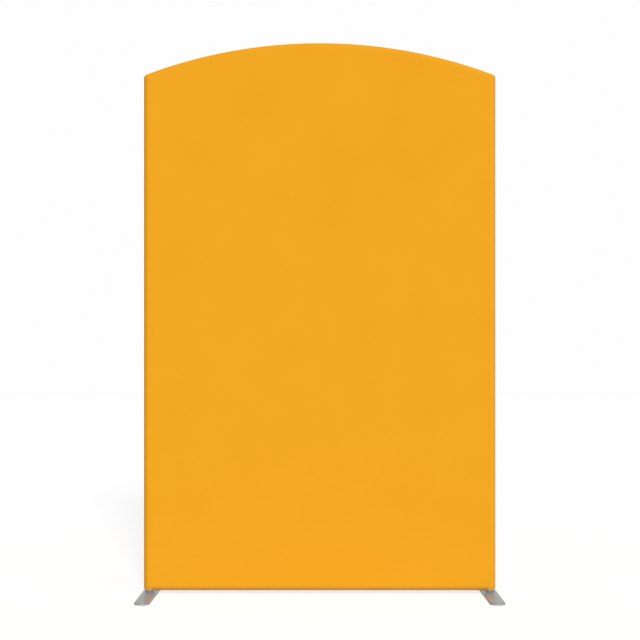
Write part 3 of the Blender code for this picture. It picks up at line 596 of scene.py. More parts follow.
# %% The outline at many insets
def outline(inset):
    """x and z of the outline, a row for each inset, anticlockwise from the lower left corner.

    Bottom edge, corner, side, shoulder, arch, and the same back down: straight edges are shares of their
    length, corners are arcs, and the arch is z = centre + root(radius squared - x squared).
    """
    inset = np.asarray(inset, float).reshape(-1, 1)
    edge, arch = HALF_WIDTH - inset, ARCH_R - inset
    low_r, high_r = corner_radius(inset, BOTTOM_CORNER_R), corner_radius(inset, SHOULDER_CORNER_R)
    low_z = BOTTOM + inset + low_r
    centre_x = edge - high_r
    centre_z = ARCH_Z + np.sqrt((arch - high_r) ** 2 - centre_x**2)
    bottom = (edge - low_r) * COLUMNS, BOTTOM + inset + 0 * COLUMNS
    corner = arc(edge - low_r, low_z, low_r, -math.pi / 2, 0)
    side = edge + 0 * ROWS, low_z + (centre_z - low_z) * ROWS
    lean = np.arcsin(centre_x / (arch - high_r))
    shoulder = arc(centre_x, centre_z, high_r, 0, math.pi / 2 - lean)
    top_x = centre_x * arch / (arch - high_r) * -COLUMNS
    top = top_x, ARCH_Z + np.sqrt(arch**2 - top_x**2)
    mirrored = [(-x[:, ::-1], z[:, ::-1]) for x, z in (shoulder, side, corner)]
    return np.concatenate([bottom, corner, side, shoulder, top, *mirrored], axis=-1)


# %% [markdown]
# ## The two halves of the sleeve
#
# The sleeve is one continuous sheet on each side. Its rim follows the tube's round from the seam to the flat,
# and its face is a grid whose top rows bend gradually into the arch. Beside a foot post the rim is pushed out
# to the post's circle and drawn up a little, which makes the cuff. At the seam the cloth dips, and the seam
# allowance under it lifts a low ridge on each side. A Solidify modifier gives the sheet its real thickness
# inwards. The flat lengths go into the UV map in metres, so that the knit keeps one size and follows the
# cloth round the tube.

# %% The roll over the tube
ROLL = np.concatenate([[0, 0.02, 0.045, 0.075, 0.11, 0.16, 0.23], np.linspace(0.32, math.pi / 2, 12)])
SEAM_DIP, SEAM_LIFT = 0.00035, 0.00030
DIP_WIDTH, LIFT_AT, LIFT_WIDTH = 0.045, 0.15, 0.09


def rolled_radius(turn):
    """The cloth's radius: the tube's, less a narrow dip at the seam, plus a low ridge beside it."""
    dip = SEAM_DIP * np.exp(-((turn / DIP_WIDTH) ** 2))
    lift = SEAM_LIFT * np.exp(-(((turn - LIFT_AT) / LIFT_WIDTH) ** 2))
    return ROUND_R + lift - dip


# how slowly the cuff fades upwards, the power of its blend into the roll, and how far it is drawn up
CUFF_FADE, CUFF_BLEND, CUFF_RISE = 0.35, 4, 0.18


def rim(face):
    """Points and flat lengths of the rim from the seam to the flat. face is -1 in front and 1 behind.

    The inset is the tube's radius less the rolled radius times the turn's cosine, and the depth is the
    rolled radius times its sine. Beside a post that depth and the post's circle go into a soft maximum,
    (a to the n plus b to the n) to the 1/n, and the circle fades out towards the flat. A flat length is the
    arc still to go, laid out along the way outwards.
    """
    radius = rolled_radius(ROLL)
    x, z = outline(ROUND_R - radius * np.cos(ROLL))
    share = np.clip((RAIL_Z - z) / ROUND_R, 0, 1)
    circle = np.sqrt(np.maximum(COLLAR_R**2 - (np.abs(x) - POST_X) ** 2, 0)) * share**CUFF_FADE
    roll = (radius * np.sin(ROLL))[:, None]
    depth = (roll**CUFF_BLEND + circle**CUFF_BLEND) ** (1 / CUFF_BLEND)
    flat_x, flat_z = x[-1], z[-1]
    out = np.stack([x - flat_x, z - flat_z], axis=-1)
    stretch = np.ones_like(ROLL)
    stretch[:-1] = (math.pi / 2 - ROLL[:-1]) / np.cos(ROLL[:-1])
    uv = np.stack([flat_x, flat_z], axis=-1) + out * stretch[:, None, None]
    return np.stack([x, face * depth, z + CUFF_RISE * circle * share], axis=-1), uv


# %% The flat face
LEVEL_UNTIL = 0.08  # the share of the height up to which the rows are level


def face_grid(face):
    """The flat face: columns across, rows up, the rows easing from level near the floor into the arch."""
    low, high = flat_height(ROUND_R)
    x = POST_X * COLUMNS
    crown = ARCH_Z + np.sqrt((ARCH_R - ROUND_R) ** 2 - x**2) - high
    share = np.clip((ROWS - LEVEL_UNTIL) / (1 - LEVEL_UNTIL), 0, 1)
    z = (low + (high - low) * ROWS)[:, None] + share[:, None] * crown
    x = np.broadcast_to(x, z.shape)
    clear = (1 - COLUMNS**2) * (4 * ROWS * (1 - ROWS))[:, None]
    return np.stack([x, face * (ROUND_R + clear * slack(x, z)), z], axis=-1), np.stack([x, z], axis=-1)


def slack(x, z):
    """Very shallow waves of the stretched cloth: a few sines across and up."""
    waves = np.sin(7.3 * x + 2.1 * z + 0.4) + 0.6 * np.sin(3.1 * x - 5.2 * z + 1.7)
    waves += 0.5 * np.sin(11 * z + 4 * x)
    return 0.00022 * (waves - 1.2)


def hem_lift(points):
    """The folded edge round the zip window stands a little proud, and falls away over a ramp."""
    over = np.maximum(np.abs(points[..., 0]) - WINDOW_X, np.abs(points[..., 2] - ZIP_Z) - WINDOW_HALF)
    return HEM_LIFT * np.clip((HEM_WIDTH - over) / HEM_RAMP, 0, 1)


# %% One half of the sleeve
def cloth_half(name, node, face, window):
    """The rim's grid and the face's grid, welded along the edge they share, without the zip's window.

    The cloth gets its real thickness inwards from the face that shows.
    """
    rim_points, rim_uv = rim(face)
    grid_points, grid_uv = face_grid(face)
    rows, columns = grid_points.shape[:2]
    faces = grid_faces(rows, columns)
    if window:
        grid_points[..., 1] += hem_lift(grid_points)
        middle = grid_points.reshape(-1, 3)[faces].mean(axis=1)
        inside = (np.abs(middle[:, 0]) < WINDOW_X) & (np.abs(middle[:, 2] - ZIP_Z) < WINDOW_HALF)
        faces = faces[~inside]
    faces = np.concatenate([faces, grid_faces(*rim_points.shape[:2]) + rows * columns])
    faces = faces if face < 0 else faces[:, ::-1]
    points = np.concatenate([grid_points.reshape(-1, 3), rim_points.reshape(-1, 3)])
    uv = np.concatenate([grid_uv.reshape(-1, 2), rim_uv.reshape(-1, 2)])
    half = make_piece(name, points, "frame", STRETCH_KNIT, node, faces, uv, closed=False)
    shell = half.modifiers.new("cloth_thickness", "SOLIDIFY")
    shell.thickness = CLOTH_T
    shell.offset = -1
    return half


# %% Make both halves
QUARTER = ROUND_R * math.pi / 2
CUT_WIDTH, CUT_HEIGHT = 2 * (POST_X + QUARTER), TOP - BOTTOM - 2 * ROUND_R + 2 * QUARTER
CUT_ARCH = ARCH_R - ROUND_R + QUARTER


def cut_area():
    """The flat area of one half: a strip's height at each x, summed. The arch lowers it to the sides."""
    x = np.linspace(-CUT_WIDTH / 2, CUT_WIDTH / 2, 2001)
    height = CUT_HEIGHT - CUT_ARCH + np.sqrt(CUT_ARCH**2 - x**2)
    return float(((height[1:] + height[:-1]) / 2 * np.diff(x)).sum())


HELD_BY = [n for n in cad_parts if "tube" in n or "post_" in n or "connector" in n]
HELD_BY = [n for n in HELD_BY if "splice" not in n and "button" not in n]
for name, node, face in (("front_cloth", "front_panel", -1), ("back_cloth", "back_panel", 1)):
    half = cloth_half(name, node, face, window=face > 0)
print("each half is cut", round(CUT_WIDTH, 4), "x", round(CUT_HEIGHT, 4), "m, area", round(cut_area(), 3))

# %% [markdown]
# ## Stitches
#
# A stitch is a short bowed bar of thread that tapers into the cloth at both ends. Thousands of them are one
# array: every stitch is the same twenty faces, placed by its centre, the way it runs and the way out of the
# cloth. Four kinds of row show: the ladder across the edge seam, a topstitch beside it on each face, the
# rows that hold the zip, and the hem of each cuff.


# %% Bars of thread
def unit(vectors):
    """Rows scaled to a length of one."""
    return vectors / np.linalg.norm(vectors, axis=1)[:, None]


def even_points(path, pitch):
    """Points spaced evenly along a path, and the path's direction at each of them."""
    along = np.concatenate([[0], np.cumsum(np.linalg.norm(np.diff(path, axis=0), axis=1))])
    at = np.arange(pitch / 2, along[-1], pitch)

    def point(length):
        return np.stack([np.interp(length, along, path[:, k]) for k in range(3)], axis=-1)

    return point(at), unit(point(at + pitch / 4) - point(at - pitch / 4))


ALONG_STEPS, ROUND_STEPS = 5, 6


def stitches(name, centre, way, out, kind, finish=THREAD, slot="sleeve_fabric"):
    """Bars of thread. Along s from -1 to 1 the middle line is centre + way * s * length / 2
    + out * crown * (1 - s squared), and the section is a circle of radius * root(1 - s to the fourth)."""
    length, radius, crown = kind[1:]
    s = np.linspace(-1, 1, ALONG_STEPS)[:, None]
    turns = np.linspace(0, 2 * math.pi, ROUND_STEPS)[None, :]
    side = np.cross(way, out)
    girth = radius * np.sqrt(np.maximum(1 - s**4, 1e-8))
    up, across = crown * (1 - s**2) + girth * np.sin(turns), girth * np.cos(turns)
    run = s * length / 2 + 0 * turns
    points = centre[:, None, None, :] + run[..., None] * way[:, None, None, :]
    points = points + up[..., None] * out[:, None, None, :] + across[..., None] * side[:, None, None, :]
    first = ALONG_STEPS * ROUND_STEPS * np.arange(len(centre))[:, None, None]
    faces = (grid_faces(ALONG_STEPS, ROUND_STEPS)[None] + first).reshape(-1, 4)
    make_piece(name, points, "frame", finish, faces=faces)


# %% The ladder across the edge seam
# each kind of stitch: its pitch, its length, the thread's radius, and how far it bows out
EDGE_STITCH, TOP_STITCH = (0.0026, 0.0026, 0.00016, 0.00022), (0.0034, 0.0028, 0.00024, 0.00016)
HEM_STITCH, CUFF_STITCH = (0.0028, 0.0023, 0.00018, 0.00012), (0.0026, 0.0021, 0.00017, 0.00012)


def row_round(inset, depth, pitch, margin):
    """Even points along the outline at an inset, but not where the foot posts come through."""
    x, z = outline(inset)
    centre, way = even_points(np.stack([x[0], 0 * x[0] + depth, z[0]], axis=-1), pitch)
    keep = (np.abs(np.abs(centre[:, 0]) - POST_X) > COLLAR_R + margin) | (centre[:, 2] > RAIL_Z)
    return centre[keep], way[keep]


def edge_seam():
    """Short bars across the seam's dip, all round the outline."""
    centre, way = row_round(SEAM_DIP, 0, EDGE_STITCH[0], 0.001)
    front = np.tile([0.0, -1.0, 0.0], (len(centre), 1))
    stitches("edge_seam_thread", centre, front, np.cross(way, front), EDGE_STITCH)


edge_seam()


# %% Topstitch beside the seam
TOPSTITCH_INSET = 0.0085


def topstitch(name, face):
    """A row all round, a finger's breadth in from the outline, lying on the roll of the cloth.

    At that inset the roll has turned by arccos(1 - inset / radius), which also gives the way out of it.
    """
    turn = math.acos(1 - TOPSTITCH_INSET / ROUND_R)
    depth = face * rolled_radius(turn) * math.sin(turn)
    centre, way = row_round(TOPSTITCH_INSET, depth, TOP_STITCH[0], 0.003)
    outwards = np.cross(way, (0.0, -1.0, 0.0))
    out = math.cos(turn) * outwards + math.sin(turn) * np.array([0.0, face, 0.0])
    stitches(name, centre, way, out, TOP_STITCH, TOPSTITCH)


for name, face in (("front_topstitch", -1), ("back_topstitch", 1)):
    topstitch(name, face)


# %% Rows that hold the zip
def zip_rows():
    """Lockstitches along a rectangle outside the zip window, on top of the folded hem."""
    reach_x, reach_z, depth = WINDOW_X + HEM_WIDTH / 2, WINDOW_HALF + HEM_WIDTH / 2, ROUND_R + HEM_LIFT
    corners = [(-1, -1), (1, -1), (1, 1), (-1, 1), (-1, -1)]
    path = np.array([(a * reach_x, depth, ZIP_Z + b * reach_z) for a, b in corners])
    centre, way = even_points(path, HEM_STITCH[0])
    stitches("zip_hem_thread", centre, way, np.tile([0.0, 1.0, 0.0], (len(centre), 1)), HEM_STITCH)


zip_rows()


# %% Cuff hems
CUFF_HEM_START, CUFF_HEM_UP = 0.75, 0.0032  # an angle from the side, and a height above the lower edge


def cuff_hems():
    """A row of stitches a little above the cuff's lower edge, round the front and back of each foot post."""
    turn = np.linspace(CUFF_HEM_START, math.pi - CUFF_HEM_START, 60)
    level, rows = BOTTOM + CUFF_HEM_UP, []
    for hand in (-1, 1):
        for face in (-1, 1):
            circle = np.stack([np.cos(turn), face * np.sin(turn), 0 * turn], axis=-1)
            path = circle * COLLAR_R + (hand * POST_X, 0, level)
            path[:, 2] += CUFF_RISE * np.abs(path[:, 1])
            centre, way = even_points(path, CUFF_STITCH[0])
            rows.append((centre, way, unit((centre - (hand * POST_X, 0, 0)) * (1, 1, 0))))
    stitches("cuff_hem_thread", *(np.concatenate(each) for each in zip(*rows)), CUFF_STITCH)


cuff_hems()

# %% [markdown]
# ## The zip
#
# A coil zip is two nylon spirals, one on each tape, whose turns mesh half a pitch apart. Each spiral is a
# helix with an oval section, carried as a thin tube. The tapes are woven strips with a rounded edge, and the
# metal slider is two shaped plates joined by a post, with a bridge for the pull.


# %% Tubes along a path
def tube(name, path, radius, body, finish, slot, node=None, sides=8, reference=(0, 0, 1), flatten=1.0):
    """A round bar carried along a path, closed with a pole at each end. The section's two directions are
    across the path and across both; flatten scales the second."""
    way = unit(np.gradient(path, axis=0))
    first = unit(np.cross(way, reference))
    second = np.cross(way, first)
    turns = np.linspace(0, 2 * math.pi, sides + 1)[None, :, None]
    ring = np.cos(turns) * first[:, None] + flatten * np.sin(turns) * second[:, None]
    start, end = (np.repeat(path[i][None, None], sides + 1, axis=1) for i in (0, -1))
    make_piece(name, np.concatenate([start, path[:, None] + radius * ring, end]), body, finish, node)


COIL_PITCH, COIL_WIRE, COIL_WIDTH, COIL_DEPTH = 0.0014, 0.00027, 0.0034, 0.00185
COIL_STEPS = 10
COIL_STARTS = {1: 0.75, -1: 0.25}  # in turns, for the upper and the lower coil
CHAIN_Y = (zip_low.y + zip_high.y) / 2


def zip_coil(name, side, node=None):
    """One spiral: an oval in the plane across the zip, stepped along it. The coils lie half a pitch apart."""
    turns = (zip_high.x - zip_low.x) / COIL_PITCH - 1
    t = np.linspace(0, turns, int(turns * COIL_STEPS) + 1)
    phase = 2 * math.pi * t
    half = COIL_WIDTH / 2 - COIL_WIRE
    middle = (zip_high.z - zip_low.z) / 2 - COIL_WIDTH / 2
    x = zip_low.x + COIL_PITCH * (t + COIL_STARTS[side])
    y = CHAIN_Y + (COIL_DEPTH / 2 - COIL_WIRE) * np.sin(phase)
    z = ZIP_Z + side * (middle + half * np.cos(phase))
    path = np.stack([x, y, z], axis=-1)
    tube(name, path, COIL_WIRE, "frame", COIL_NYLON, "zip_nylon", node, 5, (1, 0, 0))


zip_coil("zip_coil_upper", 1, "zip_chain")
zip_coil("zip_coil_lower", -1)


# %% Thread over the coils
COIL_STITCH = COIL_PITCH, 0.0013, 0.00013, 0.00004
COIL_STITCH_OFF = 0.0018  # from the zip's middle


def coil_thread():
    """The chain stitches that sew each coil to its tape: a bar over every turn, on the coil's outer third."""
    centres = []
    for side, start in COIL_STARTS.items():
        x = np.arange(zip_low.x + (start + 0.5) * COIL_PITCH, zip_high.x - COIL_PITCH, COIL_PITCH)
        y, z = CHAIN_Y + COIL_DEPTH / 2, ZIP_Z + side * COIL_STITCH_OFF
        centres.append(np.stack([x, 0 * x + y, 0 * x + z], axis=-1))
    centre = np.concatenate(centres)
    way, out = (np.tile(v, (len(centre), 1)) for v in ([1.0, 0, 0], [0, 1.0, 0]))
    stitches("zip_coil_thread", centre, way, out, COIL_STITCH, slot="zip_tape")


coil_thread()


# %% Tapes
def zip_tape(node):
    """A woven strip with its edges rounded: a stadium section carried along the zip, closed at both ends."""
    low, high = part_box(node)
    thick, wide = (high.y - low.y) / 2, (high.z - low.z) / 2
    turns = np.linspace(-math.pi / 2, math.pi / 2, 7)
    round_y, round_z = thick * np.sin(turns), wide - thick + thick * np.cos(turns)
    across = np.concatenate([round_y, -round_y, round_y[:1]]) + (low.y + high.y) / 2
    up = np.concatenate([round_z, -round_z, round_z[:1]]) + (low.z + high.z) / 2
    x = np.linspace(low.x, high.x, 112)[:, None]
    points = np.stack([x + 0 * up, 0 * x + across, 0 * x + up], axis=-1)
    start, end = (np.broadcast_to(points[i].mean(axis=0), (1, len(up), 3)) for i in (0, -1))
    points = np.concatenate([start, points, end])
    make_piece(node + "_weave", points, "frame", TAPE, node, uv=points[..., [0, 2]])


for node in ("zip_tape_upper", "zip_tape_lower"):
    zip_tape(node)

# %% [markdown]
# ## Plates with a hole
#
# The slider's plates, the pull, the foot plates and the pads are all one kind of shape: a flat piece with
# rounded edges and, in most, a hole. Its surface is a stack of closed loops. The outer loops step round the
# edge, each drawn in by an inset at its own level, then the loops cross the face, go down the hole and come
# back under the piece, so that the last loop meets the first. A solid plate's loops end in a pole instead.


# %% Loops of a plate
def inward(outline_2d):
    """Unit normals that point into a closed anticlockwise outline, from the chord between its neighbours."""
    chord = unit(np.roll(outline_2d, -1, axis=0) - np.roll(outline_2d, 1, axis=0))
    return np.stack([-chord[:, 1], chord[:, 0]], axis=-1)


def rounded_edge(low, high, radius, steps=5):
    """(inset, level) pairs up a plate's edge: a quarter round at the bottom and one at the top."""
    turns = np.linspace(0, math.pi / 2, steps + 1)
    bottom = [(radius * (1 - math.sin(t)), low + radius * (1 - math.cos(t))) for t in turns]
    return bottom + [(inset, low + high - level) for inset, level in bottom[::-1]]


def plate_points(outline_2d, edge, hole=None, rings=4):
    """Points (loops, around, 3) of a plate in its own plane.

    edge lists (inset, level) from the bottom up, and an inset may be an array round the outline. hole lists
    (loop of points, level) from the top down, or is None for a solid plate, whose faces close on the
    outline's middle.
    """
    normals = inward(outline_2d)
    around = np.ones((len(outline_2d), 1))
    outer = [np.column_stack([outline_2d + inset * around * normals, z * around]) for inset, z in edge]
    if hole is None:
        middle = outline_2d.mean(axis=0) * around
        inner = [np.column_stack([middle, outer[i][:, 2]]) for i in (-1, 0)]
    else:
        inner = [np.column_stack([loop, z * around]) for loop, z in hole]
    shares = np.linspace(0, 1, rings + 1)[1:-1]
    under = [inner[-1] + (outer[0] - inner[-1]) * t for t in shares]
    over = [outer[-1] + (inner[0] - outer[-1]) * t for t in shares]
    loops = np.array([inner[-1], *under, *outer, *over, *(inner if hole else inner[:1])])
    return np.concatenate([loops, loops[:, :1]], axis=1)


def matching_hole(outline_2d, centre, radius, power=2.0):
    """A hole's loop with a point in the same direction from its centre as each point of the outline.

    radius is (half length, half width), and the power rounds the hole: 2 gives an ellipse, 4 nearly a box.
    """
    from_centre = outline_2d - centre
    turn = np.arctan2(from_centre[:, 1], from_centre[:, 0])
    share = np.abs(np.cos(turn) / radius[0]) ** power + np.abs(np.sin(turn) / radius[1]) ** power
    reach = share ** (-1 / power)
    return centre + np.column_stack([reach * np.cos(turn), reach * np.sin(turn)])


# %% Slider
def squircle(half_length, half_width, power, taper=0.0, count=48):
    """A closed outline: |x/a| to a power plus |y/b| to the power is 1, narrowed towards -x by the taper."""
    turns = np.linspace(0, 2 * math.pi, count, endpoint=False)
    c, s = np.cos(turns), np.sin(turns)
    x = half_length * np.sign(c) * np.abs(c) ** (2 / power)
    y = half_width * np.sign(s) * np.abs(s) ** (2 / power)
    return np.column_stack([x, y * (1 - taper * (0.5 - x / half_length / 2))])


def stand_up(points, centre):
    """Turns a plate made in its own plane to face +Y: its x stays, its y becomes -z, its level becomes y."""
    x, y, level = np.moveaxis(points, -1, 0)
    return np.stack([x, level, -y], axis=-1) + centre


slider_mid = (slider_low + slider_high) / 2
SLIDER_PLATE_T, SLIDER_EDGE_R = 0.0012, 0.0005
SLIDER_POST_R, SLIDER_POST_IN = 0.0011, 0.0017  # the post's radius, and its place from the slider's end
FACE_LEVEL = CHAIN_Y + (zip_high.y - zip_low.y) / 2 + 0.0003
SLIDER_FACE = FACE_LEVEL + SLIDER_PLATE_T


def slider_plates():
    """The slider's two shield-shaped plates with rolled edges, and the post that joins them."""
    shape = squircle((slider_high.x - slider_low.x) / 2, slider_high.z - ZIP_Z, 3.2, taper=0.28)
    for name, level, node in (
        ("zip_slider_face", FACE_LEVEL, "zip_slider"),
        ("zip_slider_back", slider_low.y, None),
    ):
        edge = rounded_edge(level, level + SLIDER_PLATE_T, SLIDER_EDGE_R)
        points = stand_up(plate_points(shape, edge), (slider_mid.x, 0, ZIP_Z))
        make_piece(name, points, "zip_slider", ZIP_METAL, node)
    x = slider_high.x - SLIDER_POST_IN
    levels = np.linspace(slider_low.y, FACE_LEVEL, 6) + SLIDER_PLATE_T / 2
    path = np.array([(x, y, ZIP_Z) for y in levels])
    look = ("zip_slider", ZIP_METAL, "zip_metal")
    tube("zip_slider_post", path, SLIDER_POST_R, *look, sides=12, reference=(1, 0, 0))


slider_plates()


# %% Bridge and pull
BRIDGE_HALF, BRIDGE_CORNER, BRIDGE_R, BRIDGE_SINK = 0.0032, 0.0011, 0.0005, 0.0004
PULL_HALF_T, PULL_EDGE_R, PULL_MARGIN = 0.0005, 0.0003, 0.001
PULL_WINDOW = 0.0027, 0.0017  # half its length and half its width
WAIST_FROM, WAIST_OVER, WAIST_IN = 0.62, 0.2, 0.16  # shares of the pull's length, and of its width
pull_low, pull_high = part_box("zip_pull")


def slider_bridge():
    """A bar that rises from the slider's face, runs over the pull's head and comes down again."""
    top = slider_high.y - BRIDGE_R
    turns = np.linspace(0, math.pi / 2, 7)
    across = BRIDGE_CORNER * (1 - np.cos(turns)) - BRIDGE_HALF
    rise = np.column_stack([across, top - BRIDGE_CORNER * (1 - np.sin(turns))])
    half = np.concatenate([[(-BRIDGE_HALF, SLIDER_FACE - BRIDGE_SINK)], rise])
    arch_2d = np.concatenate([half, half[::-1] * (-1, 1)])
    path = np.column_stack([arch_2d[:, 0] + slider_mid.x, arch_2d[:, 1], np.full(len(arch_2d), ZIP_Z)])
    look = ("zip_slider", ZIP_METAL, "zip_metal")
    tube("zip_slider_bridge", path, BRIDGE_R, *look, sides=12, flatten=1.3)


def zip_pull():
    """The pull tab: a long rounded tongue, waisted towards a head with a window that the bridge passes."""
    length, half = pull_high.x - pull_low.x, (pull_high.z - pull_low.z) / 2
    shape = squircle(length / 2, half, 4.5, count=96)
    share = np.clip((shape[:, 0] / length + 0.5 - WAIST_FROM) / WAIST_OVER, 0, 1)
    shape[:, 1] *= 1 - WAIST_IN * share
    centre = np.array([length / 2 - PULL_MARGIN - PULL_WINDOW[0], 0])
    down = [(0.0003, PULL_HALF_T), (0.0001, 0.0004), (0, 0.0002)]
    loops = down + [(r, -z) for r, z in down[::-1]]
    sizes = [(np.array(PULL_WINDOW) + r, z) for r, z in loops]
    hole = [(matching_hole(shape, centre, size, 3.0), z) for size, z in sizes]
    points = plate_points(shape, rounded_edge(-PULL_HALF_T, PULL_HALF_T, PULL_EDGE_R, 3), hole)
    middle = ((pull_low.x + pull_high.x) / 2, (pull_low.y + pull_high.y) / 2, ZIP_Z)
    make_piece("zip_pull_tab", stand_up(points, middle), "zip_pull", ZIP_METAL, "zip_pull")


slider_bridge()
zip_pull()


# %% Stops
def pebble(name, node, power, body, finish, steps=14):
    """A rounded block that fills a piece's box: a ball whose cosines and sines are raised to a power."""
    low, high = (np.array(corner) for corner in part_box(node))
    up = np.linspace(-math.pi / 2, math.pi / 2, steps)[:, None]
    turn = np.linspace(0, 2 * math.pi, 2 * steps + 1)[None, :]
    waves = (np.cos(turn), np.sin(turn), np.cos(up), np.sin(up))
    c, s, cos_up, sin_up = (np.sign(v) * np.abs(v) ** (2 / power) for v in waves)
    ball = np.stack([cos_up * c, cos_up * s, sin_up + 0 * turn], axis=-1)
    make_piece(name, (low + high) / 2 + ball * (high - low) / 2, body, finish, node)


for node in ("zip_bottom_stop", "zip_top_stop_upper", "zip_top_stop_lower"):
    pebble(node + "_crimp", node, 4.0, "frame", ZIP_METAL)

# %% [markdown]
# ## The feet
#
# Each foot is a flat bar with a half-ellipse nose at both ends and a rounded top edge, on two thin rubber
# pads. A short round post stands on it, held from below by a countersunk socket screw. The bar's sides are
# sampled by angle from the screw, so that the hole's loop gets even steps from the same directions.

# %% Foot plate
FOOT_EDGE_R, UNDER_EDGE_R = 0.0032, 0.0009
NOSE_EXTRA, NOSE_REACH = 5.0, 0.020
SCREW_HEAD_R, SHANK_R, HEAD_DEPTH = 0.0078, 0.0043, 0.0037
RIM_LOOP = 0.0006  # a loop this far outside the hole keeps the flat face flat in its shading


def foot_outline():
    """The bar from above, anticlockwise: sides that taper a little from the middle, half-ellipse noses.

    A side point lies where a ray from the middle at an even step of angle meets the side.
    """
    points = node_points("right_foot_plate") - (POST_X, 0, 0)
    half_length, half_mid = points[:, 1].max(), points[:, 0].max()
    far = points[points[:, 1] > half_length / 2]
    half_tip = far[:, 0].max()
    nose = half_length - far[far[:, 0] > half_tip - 1e-5, 1].max()
    straight = half_length - nose
    limit = math.atan(straight / half_tip)
    turn = np.linspace(-limit, limit, 49)
    y = np.clip(half_mid * np.tan(turn), -straight, straight)
    side = np.column_stack([half_mid + (half_tip - half_mid) * np.abs(y) / straight, y])
    around = np.linspace(0, math.pi, 33)[1:-1]
    tip = np.column_stack([half_tip * np.cos(around), straight + nose * np.sin(around)])
    half = np.concatenate([side, tip])
    return np.concatenate([half, -half])


def foot_plate(side, x):
    """One bar. Its loops go up the edge, in to the hole, down the countersink and out underneath.

    The rounding of the top edge is drawn in further over the last part of each nose.
    """
    shape = foot_outline()
    low, high = plate_low.z, plate_high.z
    turns = np.linspace(0, math.pi / 2, 9)
    edge = [(UNDER_EDGE_R * (1 - math.sin(t)), low + UNDER_EDGE_R * (1 - math.cos(t))) for t in turns[::4]]
    to_tip = np.clip(1 - (shape[:, 1].max() - np.abs(shape[:, 1:])) / NOSE_REACH, 0, 1)
    fuller = 1 + NOSE_EXTRA * to_tip**2
    rounding = [(1 - math.cos(t), 1 - math.sin(t)) for t in turns]
    edge += [(FOOT_EDGE_R * inset * fuller, high - FOOT_EDGE_R * drop) for inset, drop in rounding]
    countersink = ((SHANK_R, low + HEAD_DEPTH), (SCREW_HEAD_R, low + 0.0002), (SCREW_HEAD_R, low))
    levels = [(SHANK_R + RIM_LOOP, high), (SHANK_R, high), *countersink, (SCREW_HEAD_R + RIM_LOOP, low)]
    hole = [(matching_hole(shape, np.zeros(2), (r, r)), z) for r, z in levels]
    points = plate_points(shape, edge, hole, rings=8) + (x, 0, 0)
    node = side + "_foot_plate"
    make_piece(node + "_bar", points, side + "_foot", FOOT_METAL, node)


# %% Turned pieces
def turned(profile, x, steps, section=None, sectioned=()):
    """A profile of (radius, level) turned about an upright axis. section scales the radius of the sectioned
    rows by direction."""
    turns = np.linspace(0, 2 * math.pi, steps + 1)
    radius, level = np.array(profile).T[..., None]
    reach = radius * np.ones_like(turns)
    if section:
        reach[list(sectioned)] *= section(turns)
    return np.stack([x + reach * np.cos(turns), reach * np.sin(turns), level + 0 * turns], axis=-1)


POST_WALL, POST_CHAMFER, POST_EDGE, POST_TAPPED = 0.0035, 0.0015, 0.0004, 0.017


def foot_post(side, x):
    """The post: chamfered at both ends, hollow above a floor, and tapped below it."""
    low, high = post_low.z, post_high.z
    radius, bore = FOOT_POST_R, FOOT_POST_R - POST_WALL
    tap_top, bore_floor = low + POST_TAPPED, low + POST_TAPPED + POST_WALL
    profile = [(0, tap_top), (SHANK_R, tap_top), (SHANK_R, low), (radius - POST_EDGE, low)]
    profile += [(radius, low + POST_EDGE), (radius, high - POST_CHAMFER), (radius - POST_CHAMFER, high)]
    profile += [(bore + POST_EDGE, high), (bore, high - POST_EDGE), (bore, bore_floor), (0, bore_floor)]
    node = side + "_foot_post"
    make_piece(node + "_turned", turned(profile, x, 96), side + "_foot", POST_METAL, node)


# %% Screw
SOCKET_FLAT, SOCKET_DEPTH, SHANK_SURFACE_R = 0.0022, 0.0025, 0.0040


def hexagon(turns):
    """The radius of a hexagon by direction: its flat's distance over the cosine of the angle off the flat."""
    sixth = math.pi / 3
    return 1 / np.cos(np.mod(turns, sixth) - sixth / 2)


def foot_screw(side, x):
    """A countersunk screw seen from below: hexagon socket, chamfered head, cone and shank."""
    node = side + "_foot_screw"
    low, high = (corner.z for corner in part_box(node))
    profile = [(0, low + SOCKET_DEPTH), (SOCKET_FLAT, low + SOCKET_DEPTH), (SOCKET_FLAT, low)]
    profile += [(0.0058, low), (0.0072, low + 0.0003), (SHANK_SURFACE_R, low + 0.0035)]
    profile += [(SHANK_SURFACE_R, high - 0.0008), (SHANK_SURFACE_R - 0.0008, high), (0, high)]
    points = turned(profile, x, 72, hexagon, (0, 1, 2))
    make_piece(node + "_socket", points, side + "_foot", SCREW_METAL, node)


# %% Pads
def foot_pad(side, end):
    """A thin rubber pad: a rounded rectangle with softened edges."""
    node = f"{side}_{end}_pad"
    low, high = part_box(node)
    shape = squircle((high.x - low.x) / 2, (high.y - low.y) / 2, 6.0, count=96)
    points = plate_points(shape, rounded_edge(low.z, high.z, 0.0004, 3), rings=6)
    points = points + ((low.x + high.x) / 2, (low.y + high.y) / 2, 0)
    make_piece(node + "_rubber", points, side + "_foot", PAD_RUBBER, node)


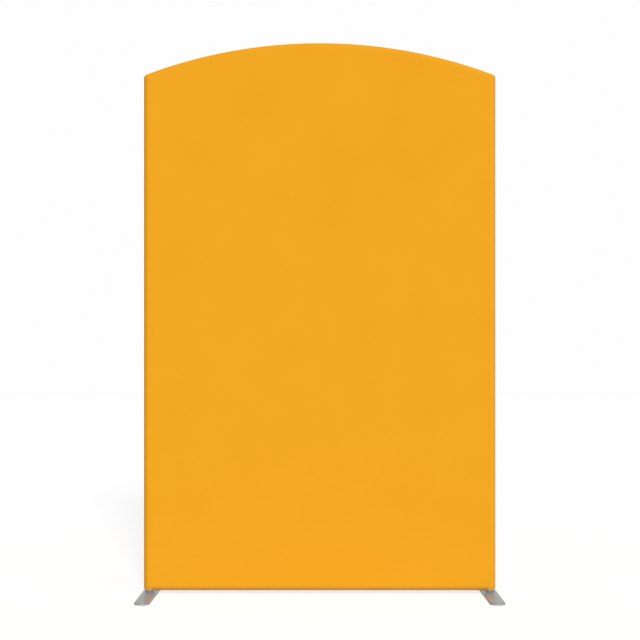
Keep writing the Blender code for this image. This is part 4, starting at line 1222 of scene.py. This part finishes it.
# %% Make both feet
for side, hand in (("left", -1), ("right", 1)):
    foot_plate(side, hand * POST_X)
    foot_post(side, hand * POST_X)
    foot_screw(side, hand * POST_X)
    for end in ("front", "rear"):
        foot_pad(side, end)

# %% [markdown]
# ## The frame inside the sleeve
#
# The tubes, connectors, splices, plugs, buttons and springs keep their own shapes. Each only gets the finish
# of what it is made of: drawn aluminium with its grain along the tube, moulded black nylon, and steel. The
# leaf springs are copied in spring steel, and the copies take their place.

# %% Finishes for the frame's own pieces
FINISH_BY_WORD = {
    "rail_tube": RAIL_METAL, "arch_tube": RAIL_METAL, "crossbar_plug": FRAME_NYLON, "crossbar": RAIL_METAL,
    "post_lower": TUBE_METAL, "post_upper": TUBE_METAL, "button": BUTTON_METAL, "splice": FRAME_NYLON,
    "connector": FRAME_NYLON,
}


def finish_of(node):
    """The finish whose word comes first in the list and is in the node's name."""
    return next(finish for word, finish in FINISH_BY_WORD.items() if word in node)


def paint(piece, finish):
    """Gives a frame piece, or a copy of one, its only finish."""
    piece.data.materials.clear()
    piece.data.materials.append(finish)


def bending_spring(node):
    """A copy of a leaf spring in spring steel, which takes the place of the frame's own.

    The way from leg to leg is the axis along which the button reaches furthest past the spring's box; the
    middles of both legs are worked out, but the copy keeps the spring's shape.
    """
    button = node.replace("spring", "button")
    low, high = (np.array(corner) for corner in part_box(node))
    tip_low, tip_high = (np.array(corner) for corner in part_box(button))
    reach = np.concatenate([tip_high - high, low - tip_low])
    axis, inverted = reach.argmax() % 3, reach.argmax() > 2
    still, moved = (low + high) / 2, (low + high) / 2
    still[axis], moved[axis] = (high[axis], low[axis]) if inverted else (low[axis], high[axis])
    spring = bpy.data.objects.new(node + "_leaf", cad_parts[node].data.copy())
    paint(spring, SPRING_METAL)
    bpy.context.scene.collection.objects.link(spring)
    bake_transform(spring)
    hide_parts(node)


springs = [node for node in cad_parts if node.endswith("_spring")]
for node in springs:
    bending_spring(node)
print("springs that bend:", len(springs))

shown = [node for node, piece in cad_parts.items() if not piece.hide_render]
for node in shown:
    paint(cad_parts[node], finish_of(node))
print("frame pieces finished:", len(shown))
